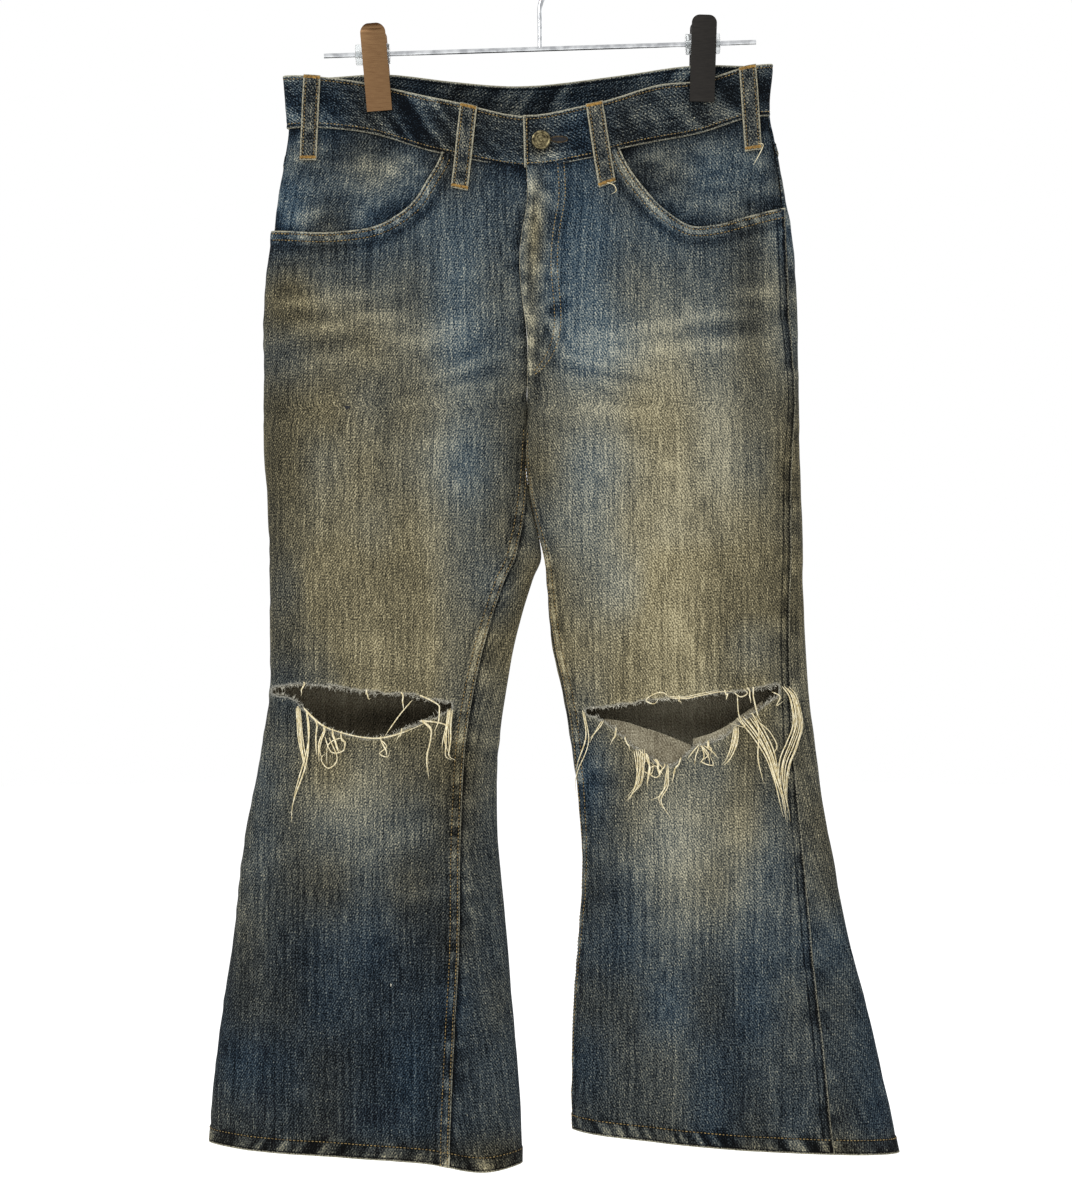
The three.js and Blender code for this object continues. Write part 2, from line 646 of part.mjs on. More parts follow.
// The fly's zip tape, and the shield of denim behind it, both inside the front panels.
function fly() {
  const strip = (toX, far, thick) => {
    const cloth = layer('front_left', () => BAND_SEAM - BAND_GAP, FRONT_COLUMNS, {
      rows: 7, near: far - thick, far,
    });
    const x = read(HIP_ROWS, 'z', BAND_SEAM, 'centre');
    const [from, to] = [x - TAPE.back, x + toX];
    const outline = [[from, FLY_END], [to, FLY_END], [to, BAND_TOP], [from, BAND_TOP]];
    return fromSolid(solid(cloth).intersect(prism(outline, CUT.front, CUT.middle)));
  };
  const tape = -DENIM - LAYER_GAP;
  add('zip', strip(TAPE.front, tape, TAPE.thick), COLOURS.brass, 0.6, 0.3);
  add('fly_shield', strip(SHIELD_FRONT, tape - TAPE.thick - LAYER_GAP, DENIM), COLOURS.inside);
}

// The waistband runs once round. Its viewer's-left end tucks under the other at the button.
function waistband() {
  const { start, end, tuckedTo, outFrom, lift, columns } = WAIST;
  const tuck = BAND + SEAM_GAP;
  const ring = (s, z) => new THREE.Vector3(...hipPoint(z, mix(start, end, s)));
  const under = (s) => -tuck * (1 - THREE.MathUtils.smoothstep(mix(start, end, s), tuckedTo, outFrom));
  add('waistband', clothGrid({
    pointAt: ring,
    sign: 1,
    heights: [BAND_TOP, (BAND_TOP + BAND_SEAM) / 2, BAND_SEAM],
    columns,
    near: (s) => lift - BAND + under(s),
    far: (s) => lift + under(s),
  }), COLOURS.denim);
}

function hipSurface(face, x, z) {
  const centre = read(HIP_ROWS, 'z', z, 'centre');
  const half = x > centre ? read(HIP_ROWS, 'z', z, 'right') - centre : centre - read(HIP_ROWS, 'z', z, 'left');
  const angle = THREE.MathUtils.radToDeg(Math.acos((x - centre) / half));
  const turned = face === 'front' ? angle : 360 - angle;
  return new THREE.Vector3(...hipPoint(z, turned));
}

function beltLoops() {
  LOOPS.forEach((loop, i) => {
    const top = BAND_TOP + 0.5;
    const bottom = top - LOOP_LENGTH;
    const pointAt = (s, z) => {
      const down = (top - z) / LOOP_LENGTH;
      const x = mix(loop.x, loop.foot, down) + (s - 0.5) * LOOP_WIDTH;
      return folded(hipSurface(loop.face, x, z));
    };
    const below = (z) => THREE.MathUtils.clamp((BAND_SEAM - 3 - z) / LOOP_LIFT.over, 0, 1);
    const lift = (s, z) => mix(LOOP_LIFT.band, LOOP_LIFT[loop.face], below(z));
    const steps = [0, 0.28, 0.56, 0.68, 0.84, 1];
    add(`belt_loop_${i + 1}`, clothGrid({
      pointAt,
      sign: loop.face === 'front' ? -1 : 1,
      heights: steps.map((t) => mix(top, bottom, t)),
      columns: 2,
      near: lift,
      far: (s, z) => lift(s, z) + LOOP,
    }), COLOURS.faded);
  });
}

function backPockets() {
  const { top, side: low, tip, half, taper } = BACK_POCKET;
  for (const side of ['right', 'left']) {
    const name = `back_${side}`;
    const x = BACK_POCKET.middle[side];
    const under = (s) => BAND_SEAM - yokeDepth(s) - SEAM_GAP;
    const cloth = layer(name, under, BACK_COLUMNS, {
      rows: 9, near: LAYER_GAP, far: LAYER_GAP + DENIM,
    });
    const outline = [[x - half, top], [x + half, top], [x + half - taper, low], [x, tip], [x - half + taper, low]];
    add(`back_pocket_${side}`, fromSolid(solid(cloth).intersect(prism(outline, -CUT.middle, CUT.behind))), COLOURS.denim);
  }
}

function button() {
  const z = (BAND_TOP + BAND_SEAM) / 2 - BUTTON.drop;
  const seat = hipSurface('front', BUTTON.x, z);
  const profile = BUTTON_ROWS.map((row) => new THREE.Vector2(row.radius, row.height));
  const disc = new THREE.LatheGeometry(profile, BUTTON.sides);
  disc.rotateX(Math.PI); // its axis points to the front
  disc.translate(BUTTON.x, seat.y - WAIST.lift - BUTTON.gap, seat.z);
  const bare = disc.deleteAttribute('normal').deleteAttribute('uv');
  add('button', facingOut(mergeVertices(bare, 1e-3)), COLOURS.brass, 0.4, 0.9);
}

// The outer face of a front panel at a place on the leg.
function legFace(side, x, z) {
  const row = (column) => read(LEG_ROWS[side], 'z', z, column);
  const middle = (row('left') + row('right')) / 2;
  const c = THREE.MathUtils.clamp((x - middle) / ((row('right') - row('left')) / 2), -1, 1);
  const y = -row('front') * Math.sqrt(1 - c * c);
  return y - foldHeight('front', x, z) * Math.min(1, Math.abs(y) / 12);
}

// A section of a few sides run along a smooth path.
function along(points, section, steps) {
  const path = new THREE.CatmullRomCurve3(points);
  return new THREE.ExtrudeGeometry(section, { steps, extrudePath: path, bevelEnabled: false });
}

function ngon(radius, sides) {
  const corners = Array.from({ length: sides }, (_, i) => {
    const a = (i / sides) * Math.PI * 2;
    return new THREE.Vector2(radius * Math.cos(a), radius * Math.sin(a));
  });
  return new THREE.Shape(corners);
}

// The torn edges: a narrow strip of loosened weave just off the cloth, with its threads.
function frays() {
  for (const side of ['right', 'left']) {
    for (const edge of ['top', 'bottom']) {
      const name = `fray_${side}_${edge}`;
      const rows = RIP[side].slice(1, -1);
      const inset = (FRAY_STRIP.width / 2 + FRAY_STRIP.gap) * (edge === 'top' ? -1 : 1);
      const onEdge = (x) => {
        const torn = (at) => read(RIP[side], 'x', at, edge);
        const z = torn(x) + inset * Math.hypot(1, (torn(x + 1) - torn(x - 1)) / 2);
        return new THREE.Vector3(x, legFace(side, x, z) + DENIM / 2, z);
      };
      const w = FRAY_STRIP.width / 2;
      const t = FRAY_STRIP.thick / 2;
      const section = new THREE.Shape([[-t, -w], [t, -w], [t, w], [-t, w]].map((p) => new THREE.Vector2(...p)));
      const ends = [rows[0].x, rows[rows.length - 1].x - 6];
      const spots = Array.from({ length: 13 }, (_, i) => onEdge(mix(ends[0], ends[1], i / 12)));
      let fringe = solid(along(spots, section, 20));
      THREADS[name].forEach((thread, i) => {
        const x = THREE.MathUtils.clamp(thread.x, ends[0] + 1, ends[1] - 1);
        const root = onEdge(x);
        const hang = [0.12, 0.35, 0.6, 0.82, 1].map((u) => {
          const px = thread.x + thread.drift * u + STRAND_SWAY.side * Math.sin(5 * u + i);
          const pz = root.z - thread.length * u;
          const off = STRAND_CLEAR[edge] + STRAND_SWAY.depth * Math.sin(3 * u + i);
          return new THREE.Vector3(px, legFace(side, px, pz) - off, pz);
        });
        const steps = 2 + Math.ceil(thread.length / STRAND_STEP);
        const over = root.clone().add(new THREE.Vector3(0, -STRAND_CLEAR[edge] - 1, 1.6));
        fringe = fringe.add(solid(along([root, over, ...hang], ngon(STRAND_RADIUS, 3), steps)));
      });
      add(name, fromSolid(fringe), COLOURS.thread);
    }
  }
}

function barHeight(x) {
  return BAR.middle + BAR.slope * x;
}

// The hook and the bar are one welded piece of round wire.
function hanger() {
  const r = HOOK_RADIUS + ROD;
  const down = -HOOK_RADIUS;
  const arc = HOOK_ANGLES.map((a) => new THREE.Vector3(
    r * Math.cos(degrees(a)), 0, down + r * Math.sin(degrees(a))));
  const shank = SHANK.map((row) => new THREE.Vector3(row.x, 0, row.z));
  const hook = along([...arc, ...shank], ngon(ROD, 8), 34);
  const ends = [-BAR.half, BAR.half].map((x) => new THREE.Vector3(x, 0, barHeight(x)));
  const bar = new THREE.ExtrudeGeometry(ngon(ROD, 12), {
    steps: 1, extrudePath: new THREE.LineCurve3(...ends), bevelEnabled: false,
  });
  add('hanger', fromSolid(solid(hook).add(solid(bar))), COLOURS.steel, 0.3, 1);
}

function clipPlate() {
  const { width, length, thick, round, cut } = CLIP;
  const w = width / 2;
  const shape = new THREE.Shape();
  shape.moveTo(-w + cut, 0);
  shape.lineTo(w - cut, 0);
  shape.lineTo(w, cut);
  shape.lineTo(w, length - round);
  shape.absarc(w - round, length - round, round, 0, Math.PI / 2);
  shape.absarc(-w + round, length - round, round, Math.PI / 2, Math.PI);
  shape.lineTo(-w, cut);
  return new THREE.ExtrudeGeometry(shape, { depth: thick, bevelEnabled: false, curveSegments: 5 });
}

function clips() {
  for (const clip of CLIPS) {
    const colour = clip.name === 'right' ? COLOURS.bronze : COLOURS.dark;
    const hang = (name, y, lean) => {
      const plate = add(name, clipPlate(), colour, 0.4, 0.8);
      plate.rotation.set(degrees(90 + lean), degrees(clip.tilt), 0, 'YXZ');
      plate.position.set(clip.x, y, clip.bottom);
    };
    hang(`clip_${clip.name}_front`, -CLIP.front.jaw, CLIP.front.lean);
    hang(`clip_${clip.name}_back`, CLIP.back.jaw + CLIP.thick, -CLIP.back.lean);
    const half = HUB.length / 2;
    const { bore, radius, rim } = HUB;
    const spool = [[bore, -half], [radius - rim, -half], [radius, -half + rim],
      [radius, half - rim], [radius - rim, half], [bore, half], [bore, -half]];
    const hub = new THREE.LatheGeometry(spool.map((p) => new THREE.Vector2(...p)), HUB.sides);
    const bare = hub.deleteAttribute('normal').deleteAttribute('uv');
    const sleeve = add(`clip_${clip.name}_hub`, facingOut(mergeVertices(bare, 1e-3)), COLOURS.clear, 0.2);
    sleeve.rotation.set(0, -Math.atan(BAR.slope), -Math.PI / 2, 'YXZ');
    sleeve.position.set(clip.hub, 0, barHeight(clip.hub));
  }
}

frontPanels();
backPanels();
pocketFacings();
fly();
waistband();
beltLoops();
backPockets();
button();
frays();
hanger();
clips();

export default group;
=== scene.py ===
# %% [markdown]
# # Faded flared jeans on a clip hanger
#
# The jeans hang by the waistband from two clips, so the cloth is open, a little baggy and nearly flat. The
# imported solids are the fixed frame. Everything made here lies on them, in metres, with +Z up, +X to the
# viewer's right and the front of the jeans towards -Y. "Right" and "left" in names are the wearer's.

# %% Load the frame
import math

import bpy
import numpy as np
from mathutils import Matrix, Vector
from mathutils.bvhtree import BVHTree


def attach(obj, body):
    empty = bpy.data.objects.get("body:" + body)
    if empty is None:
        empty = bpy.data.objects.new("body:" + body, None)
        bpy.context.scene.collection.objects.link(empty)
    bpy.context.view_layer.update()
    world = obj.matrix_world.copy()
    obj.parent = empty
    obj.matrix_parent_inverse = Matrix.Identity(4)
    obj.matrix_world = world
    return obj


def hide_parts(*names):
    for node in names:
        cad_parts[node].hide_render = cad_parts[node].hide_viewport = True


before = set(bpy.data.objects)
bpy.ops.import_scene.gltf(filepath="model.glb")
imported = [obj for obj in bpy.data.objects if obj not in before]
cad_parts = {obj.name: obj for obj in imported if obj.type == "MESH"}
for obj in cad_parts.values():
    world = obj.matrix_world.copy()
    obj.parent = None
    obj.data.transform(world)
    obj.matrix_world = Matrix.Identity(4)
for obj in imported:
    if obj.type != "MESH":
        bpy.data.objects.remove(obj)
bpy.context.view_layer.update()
MM = 0.001

# %% [markdown]
# ## Camera, light and floor
#
# The photo is taken straight from the front, two metres away, at the height of the knees' upper side. Its
# 1200 rows span 1056 mm at the middle plane of the jeans, which sets the lens. The light is plain and soft:
# a white room, and one large lamp from the upper left that gives the folds their shade.

# %% Camera
EYE = Vector((-0.00352, -2.0, -0.584))
VIEW_HEIGHT = 1.056
SENSOR = 36
camera_data = bpy.data.cameras.new("camera")
camera_data.sensor_fit = "VERTICAL"
camera_data.sensor_height = SENSOR
camera_data.lens = SENSOR * -EYE.y / VIEW_HEIGHT
camera = bpy.data.objects.new("camera", camera_data)
bpy.context.scene.collection.objects.link(camera)
camera.location = EYE
camera.rotation_euler = (math.radians(90), 0, 0)
bpy.context.scene.camera = camera
bpy.context.scene.view_settings.view_transform = "Standard"
print("lens:", round(camera_data.lens, 2), "mm")


# %% Functions for shader nodes, materials and colours
def give(tree, node, inputs):
    """Sets a node's inputs, each to a value or to a socket, which is linked to it."""
    for name, value in inputs.items():
        if isinstance(value, bpy.types.NodeSocket):
            tree.links.new(value, node.inputs[name])
        else:
            node.inputs[name].default_value = value
    return node


def add_node(tree, kind, inputs, **settings):
    made = tree.nodes.new("ShaderNode" + kind)
    for name, value in settings.items():
        setattr(made, name, value)
    return give(tree, made, inputs)


def maths(tree, operation, *inputs):
    return add_node(tree, "Math", dict(enumerate(inputs)), operation=operation).outputs[0]


def mapped(tree, value, start, end, low, high):
    """A value that runs from low to high while the given one runs from start to end."""
    return add_node(tree, "MapRange", {0: value, 1: start, 2: end, 3: low, 4: high}).outputs[0]


def new_material(name):
    material = bpy.data.materials.new(name)
    material.use_nodes = True
    return material, material.node_tree, material.node_tree.nodes["Principled BSDF"]


def colour(text):
    parts = [int(text[i:i + 2], 16) / 255 for i in (1, 3, 5)]
    return tuple(c / 12.92 if c <= 0.04045 else ((c + 0.055) / 1.055) ** 2.4 for c in parts) + (1.0,)

# %% Room, lamps and floor
room = bpy.data.worlds.new("white_room")
room.use_nodes = True
give(room.node_tree, room.node_tree.nodes["Background"], {"Color": (1, 1, 1, 1), "Strength": 1.0})
bpy.context.scene.world = room

LAMPS = [
    # place, size, watts
    ((-1.3, -1.5, 0.9), 1.0, 26),
    ((1.6, 1.4, 0.8), 1.2, 14),
]
LAMP_AIM = Vector((0, 0, -0.55))
for place, size, watts in LAMPS:
    lamp_data = bpy.data.lights.new("soft_lamp", "AREA")
    lamp_data.size, lamp_data.energy = size, watts
    lamp = bpy.data.objects.new("soft_lamp", lamp_data)
    bpy.context.scene.collection.objects.link(lamp)
    lamp.location = place
    lamp.rotation_euler = (Vector(place) - LAMP_AIM).to_track_quat("Z", "Y").to_euler()

FLOOR_LEVEL, FLOOR_RADIUS, FLOOR_GRIT, FLOOR_GLOW = -1.3, 7, 40.0, 0.15
bpy.ops.mesh.primitive_circle_add(vertices=96, radius=FLOOR_RADIUS, fill_type="NGON")
floor = bpy.context.object
floor.name = "floor"
floor.data.transform(Matrix.Translation((0, 0, FLOOR_LEVEL)))
paint, tree, coat = new_material("matt white floor paint")
grit = add_node(tree, "TexNoise", {"Scale": FLOOR_GRIT})
give(tree, coat, {"Base Color": mapped(tree, grit.outputs["Fac"], 0, 1, 0.93, 0.97), "Roughness": 0.9,
                  "Emission Color": (1, 1, 1, 1), "Emission Strength": FLOOR_GLOW})
floor.data.materials.append(paint)
print("lamps:", len(LAMPS), "floor at", FLOOR_LEVEL)

# %% [markdown]
# ## The sizes that the cloth was built from
#
# The tables repeat the sections of the hips and legs that the solids use, in millimetres, so the thin shells
# made here lie where the solids do. A table is read with smooth steps between its rows.

# %% Reading a table
def table(columns, rows):
    return {name: np.array([row[i] for row in rows], float) for i, name in enumerate(columns.split())}


def read(rows, key, value, column):
    order = slice(None) if rows[key][-1] > rows[key][0] else slice(None, None, -1)
    k, v = rows[key][order], rows[column][order]
    slope = np.empty_like(v)
    slope[1:-1] = (v[2:] - v[:-2]) / (k[2:] - k[:-2])
    slope[0], slope[-1] = (v[1] - v[0]) / (k[1] - k[0]), (v[-1] - v[-2]) / (k[-1] - k[-2])
    value = np.asarray(value, float)
    i = np.clip(np.searchsorted(k, value, side="right") - 1, 0, len(k) - 2)
    width = k[i + 1] - k[i]
    t = np.clip((value - k[i]) / width, 0, 1)
    return ((2 * t**3 - 3 * t**2 + 1) * v[i] + (t**3 - 2 * t**2 + t) * width * slope[i]
            + (3 * t**2 - 2 * t**3) * v[i + 1] + (t**3 - t**2) * width * slope[i + 1])


def smooth(value, low, high):
    t = np.clip((np.asarray(value, float) - low) / (high - low), 0, 1)
    return t * t * (3 - 2 * t)


def mix(a, b, share):
    return a + (b - a) * share


def hill(value, middle, width):
    """1 at the middle, falling smoothly to 0 on both sides."""
    return np.exp(-((value - middle) / width) ** 2)


def joined(*parts):
    """Arrays side by side in a new last axis, such as x, y and z in one array of points."""
    return np.stack(np.broadcast_arrays(*parts), -1)

# %% Sizes of the cloth
DENIM, BAND, LOOP = 1.5, 2.8, 1.8
SEAM_GAP, BAND_GAP, LAYER_GAP = 0.3, 0.5, 0.4
HEM_DEPTH, HEM_EXTRA = 14, 0.7
BAND_TOP, BAND_SEAM, HIP, CROTCH, FLY_END = -121, -165, -320, -419, -338
YOKE_MIDDLE, YOKE_SIDE = 62, 34

HIPS = table("z left right centre front back outRight outLeft", [
    (-121, -226, 205, -13, 23, 31, 186, 3),
    (-165, -222.6, 202, -12, 25, 33, 186, 4),
    (-197, -227, 208.6, -11, 28, 37, 186, 6),
    (-232, -233.2, 214.7, -16, 31, 42, 187, 8),
    (-267, -236.7, 220.9, -18, 33, 46, 187, 12),
    (-302, -241.1, 224.4, -16, 35, 49, 187, 14),
    (-355, -242.9, 227, -11, 37, 48, 187, 15),
    (-419, -243.5, 227.9, -11.5, 39, 44, 187, 16),
])
LEGS = {
    "right": table("z left right front back in out", [
        (-419, -243.5, -11.8, 39, 44, 0, 187),
        (-452, -242.9, -14.3, 38, 43, 0, 187),
        (-496, -240.2, -9, 36, 40, 16, 188),
        (-531, -238.5, -1.1, 34, 37, 31, 189),
        (-549, -238, 0.6, 33, 36, 36, 189),
        (-566, -237.6, -6, 32, 35, 38, 190),
        (-619, -237.6, -21.1, 30, 32, 41, 190),
        (-663, -238, -29.9, 28, 30, 43, 191),
        (-707, -243.8, -36.1, 28, 29, 43.5, 191),
        (-760, -253.4, -37.8, 28, 30, 44, 191),
        (-813, -262.2, -35.2, 30, 31, 46, 192),
        (-883, -269.3, -29, 32, 33, 49, 193),
        (-954, -279.8, -22.9, 34, 36, 53, 194),
        (-1024, -287.8, -16.7, 36, 39, 56.5, 195),
        (-1067, -290.2, -15, 38, 41, 57.5, 195),
    ]),
    "left": table("z left right front back in out", [
        (-419, -11.2, 227.9, 39, 44, 180, 16),
        (-452, -12.1, 228.8, 38, 43, 180, 21),
        (-496, -6.9, 230.1, 36, 40, 180, 24),
        (-531, 1.1, 231.4, 34, 37, 178, 26),
        (-549, 4.4, 231.4, 33, 36, 176, 26),
        (-566, 5.3, 231.4, 32, 35, 174, 27),
        (-619, 10.1, 233.2, 30, 32, 170, 30),
        (-663, 18.9, 235.8, 28, 30, 168, 32),
        (-707, 26.4, 241.1, 28, 29, 168, 36),
        (-760, 33.4, 248.2, 28, 30, 174, 38),
        (-813, 37.8, 258.7, 30, 31, 180, 42),
        (-883, 34.3, 272.8, 32, 33, 184, 46),
        (-954, 29.9, 292.2, 34, 36, 186, 50.5),
        (-1024, 28.2, 309.8, 36, 39, 188, 54),
        (-1053, 29.5, 316.5, 38, 41, 188, 55),
    ]),
}
HEM_SLOPE, HEM_SKEW_FROM = {"right": -0.055, "left": -0.071}, -760
FRONT_EDGE = table("x top seam", [
    (-226, -122.9, -167.8), (-195, -125, -168), (-144, -131, -173), (-88, -146, -192), (-15, -162, -206),
    (45, -152, -197.5), (65, -146.5, -190.5), (105, -132.5, -180), (141, -127, -171.5),
    (180, -116, -159.5), (205, -112.3, -156),
])
BACK_EDGE = table("x top seam", [
    (-226, -122.9, -167.8), (-144, -121, -166), (-80, -122.5, -167), (-13, -125, -170), (70, -117, -162),
    (141, -113, -157), (205, -112.3, -156),
])
CLIP_X, PINCH, PINCH_WIDTH, PINCH_END = {"right": -141, "left": 142}, 0.87, 50, -310

# The large folds of the solids: where each is, how its length is turned from upright, and its sizes.
FOLD = "x z turn length width height"
FOLDS = {
    "front": table(FOLD, [
        (-135, -235, 8, 70, 16, 2.5), (138, -225, -6, 70, 16, 2.5),
        (-60, -330, 62, 60, 15, -2.5), (55, -345, -60, 60, 15, -2.5),
        (-195, -320, 76, 50, 14, -2), (190, -330, -74, 45, 14, -2),
        (-150, -585, 4, 110, 30, 2.5), (150, -590, -5, 100, 30, 2.5),
        (-228, -930, 8, 150, 20, 3.5), (-180, -960, 3, 140, 20, -3.5),
        (-115, -940, -3, 150, 22, 3), (100, -945, 6, 150, 22, -3.5),
        (165, -950, -2, 150, 24, 3.5), (262, -900, -13, 120, 16, -3.5),
    ]),
    "back": table(FOLD, [
        (-130, -400, 60, 70, 18, -4), (110, -405, -62, 70, 18, -4),
        (-140, -690, 82, 60, 15, 3.5), (130, -700, -80, 60, 15, 3.5),
        (-170, -930, 5, 150, 24, -4), (190, -930, -7, 150, 24, -4),
    ]),
}
print("sections:", len(HIPS["z"]), [len(leg["z"]) for leg in LEGS.values()])

# %% The surface of the hips and of each leg
FOLD_EASE = 12  # the large folds die away this far from the side edges


def pinch(x, z):
    near_clips = sum(hill(x, clip, PINCH_WIDTH) for clip in CLIP_X.values())
    return 1 - PINCH * smooth(z, PINCH_END, BAND_SEAM) * near_clips


def hip_point(z, angle):
    c, s = np.cos(np.radians(angle)), np.sin(np.radians(angle))
    centre = read(HIPS, "z", z, "centre")
    half = np.where(c > 0, read(HIPS, "z", z, "right") - centre, centre - read(HIPS, "z", z, "left"))
    x = centre + half * c
    depth = np.where(s > 0, read(HIPS, "z", z, "front"), read(HIPS, "z", z, "back"))
    top, seam = (np.where(s > 0, read(FRONT_EDGE, "x", x, edge), read(BACK_EDGE, "x", x, edge))
                 for edge in ("top", "seam"))
    on_band = mix(seam, top, (z - BAND_SEAM) / (BAND_TOP - BAND_SEAM))
    below = z + (seam - BAND_SEAM) * smooth(z, CROTCH, BAND_SEAM)
    return joined(x, -s * depth * pinch(x, z), np.where(z > BAND_SEAM, on_band, below))


def leg_sides(side, z):
    """The middle of a leg at a height, and half its width."""
    left, right = read(LEGS[side], "z", z, "left"), read(LEGS[side], "z", z, "right")
    return (left + right) / 2, (right - left) / 2


def leg_point(side, z, angle):
    leg = LEGS[side]
    middle, half = leg_sides(side, z)
    s = np.sin(np.radians(angle))
    x = middle + half * np.cos(np.radians(angle))
    y = -s * np.where(s > 0, read(leg, "z", z, "front"), read(leg, "z", z, "back"))
    skew = smooth(-z, -HEM_SKEW_FROM, -leg["z"][-1]) * HEM_SLOPE[side]
    return joined(x, y, z + skew * (x - middle))


def ridges(rows, x, z, column="height"):
    total = np.zeros(np.shape(x))
    for i in range(len(rows["x"])):
        a = math.radians(rows["turn"][i])
        dx, dz = x - rows["x"][i], z - rows["z"][i]
        along = dz * math.cos(a) + dx * math.sin(a)
        across = dx * math.cos(a) - dz * math.sin(a)
        along, across = along / rows["length"][i], across / rows["width"][i]
        total += rows[column][i] * np.exp(-(along**2) - across**2)
    return total


def folded(points):
    x, y, z = points[..., 0], points[..., 1], points[..., 2]
    height = np.where(y < 0, -ridges(FOLDS["front"], x, z), ridges(FOLDS["back"], x, z))
    points[..., 1] += height * np.minimum(1, np.abs(y) / FOLD_EASE)
    return points


# For each panel: its leg; the hips' angle at its inner edge; whole turns that are added to the leg's inner
# angle and to the outer ones; the column of its outer angle; and whether its grid faces outwards (1) or not.
PANELS = {
    "front_right": {"side": "right", "hip_in": 90, "in_turn": 0, "outer": "outRight", "out_turn": 0, "out": 1},
    "front_left": {"side": "left", "hip_in": 90, "in_turn": 0, "outer": "outLeft", "out_turn": 0, "out": -1},
    "back_right": {"side": "right", "hip_in": 270, "in_turn": 360, "outer": "outRight", "out_turn": 0, "out": -1},
    "back_left": {"side": "left", "hip_in": 270, "in_turn": 0, "outer": "outLeft", "out_turn": 360, "out": 1},
}


def panel_point(name, s, z):
    """s runs from the centre seam and the inseam (0) to the outseam (1)."""
    panel = PANELS[name]
    leg = LEGS[panel["side"]]
    s, z = np.broadcast_arrays(np.asarray(s, float), np.asarray(z, float))
    hip_out = read(HIPS, "z", z, panel["outer"]) + panel["out_turn"]
    leg_in, leg_out = read(leg, "z", z, "in") + panel["in_turn"], read(leg, "z", z, "out") + panel["out_turn"]
    u = np.clip((HIP - z) / (HIP - CROTCH), 0, 1)
    sharp = 1 - (1 - u * u) ** 0.7
    share = mix(sharp, smooth(u, 0, 1), smooth(s, 0, 0.4))[..., None]
    hip = hip_point(np.maximum(z, CROTCH), mix(panel["hip_in"], hip_out, s))
    legs = leg_point(panel["side"], np.minimum(z, CROTCH), mix(leg_in, leg_out, s))
    points = mix(hip, legs, share)
    points[..., 2] = np.where(z > CROTCH, hip[..., 2], points[..., 2])
    return folded(points)


print("inseam of the right leg at the knee:", np.round(panel_point("front_right", 0.0, -680.0), 1))

# %% [markdown]
# ## Cloth shells
#
# Each cut piece of cloth is a fine grid of points on its surface, a grid of points one thickness inside it,
# and a narrow rim that joins them. The grid is fine enough (3 mm) to carry creases, seam ridges and puckers.
# Pocket mouths and torn knees are cut by a field of distances, so their edges run smoothly between grid
# points. The same distances are kept on the mesh as attributes, and the denim's material reads them to wear
# the cloth pale at its edges; it also reads a level that pales the cloth where it was rubbed and darkens it
# where painted shade is laid on.

# %% Evenly spaced columns and rows
ROW_SAMPLES = 81
EDGE_STEPS = np.array([SEAM_GAP / 2, 0.8, 1.8, 3.2, 5.2, 7.4, 9, 10.4, 12])
KNOTS = (97, 89)


def run_along(points, axis):
    """How far along a row of points each one lies."""
    run = np.cumsum(np.linalg.norm(np.diff(points, axis=axis), axis=-1), axis=axis)
    return np.insert(run, 0, 0, axis=axis)


def even_columns(point_at, z, spots):
    """The values of s that lie at the given distances (a function of the row's length) along each row."""
    samples = np.linspace(0, 1, ROW_SAMPLES)
    lengths = run_along(point_at(samples[None, :], z[:, None]), 1)
    return np.array([np.interp(spots(row[-1]), row, samples) for row in lengths])


def spots_for(count):
    """Distances across a row: even in the middle, closer together at both edges."""
    def spots(total):
        inner = np.linspace(EDGE_STEPS[-1], total - EDGE_STEPS[-1], count + 1)[1:-1]
        return np.concatenate([EDGE_STEPS, inner, total - EDGE_STEPS[::-1]])
    return spots


def wobble(x, y, pitch_x, pitch_y, seed):
    """Smooth uneven values from -1 to 1, with knots that many millimetres apart."""
    grid = np.random.default_rng(seed).uniform(-1, 1, KNOTS)
    u, v = np.asarray(x, float) / pitch_x, np.asarray(y, float) / pitch_y
    i, j = np.floor(u).astype(int), np.floor(v).astype(int)
    fu, fv = smooth(u - i, 0, 1), smooth(v - j, 0, 1)
    (a, b), (c, d) = ([grid[(i + p) % KNOTS[0], (j + q) % KNOTS[1]] for p in (0, 1)] for q in (0, 1))
    return mix(mix(a, b, fu), mix(c, d, fu), fv)


def normals_of(points, out):
    along, down = np.gradient(points, axis=1), np.gradient(points, axis=0)
    normal = np.cross(along, down) * out
    return normal / np.maximum(np.linalg.norm(normal, axis=-1, keepdims=True), 1e-9)

# %% Cutting holes and joining a grid's two faces into a piece of cloth
FIELDS = ("fade", "warm", "pucker", "edge", "torn")
SHARP = math.radians(48)


def cut_away(data, faces, depth_column):
    """Cuts off what lies where the depth is above 0, with new points exactly where it is 0."""
    depth = data[:, depth_column]
    gone = depth > 0
    kept, made, extra = [], {}, []

    def crossing(a, b):
        key = (min(a, b), max(a, b))
        if key not in made:
            made[key] = len(data) + len(extra)
            extra.append(data[a] + (data[b] - data[a]) * depth[a] / (depth[a] - depth[b]))
        return made[key]

    for face in faces:
        inside = [bool(gone[v]) for v in face]
        if not any(inside):
            kept.append(face)
        elif not all(inside):
            shape = []
            for v, w in zip(face, face[1:] + face[:1]):
                if not gone[v]:
                    shape.append(v)
                if gone[v] != gone[w]:
                    shape.append(crossing(v, w))
            if len(shape) >= 3:
                kept.append(shape)
    return (np.vstack([data, extra]) if extra else data), kept


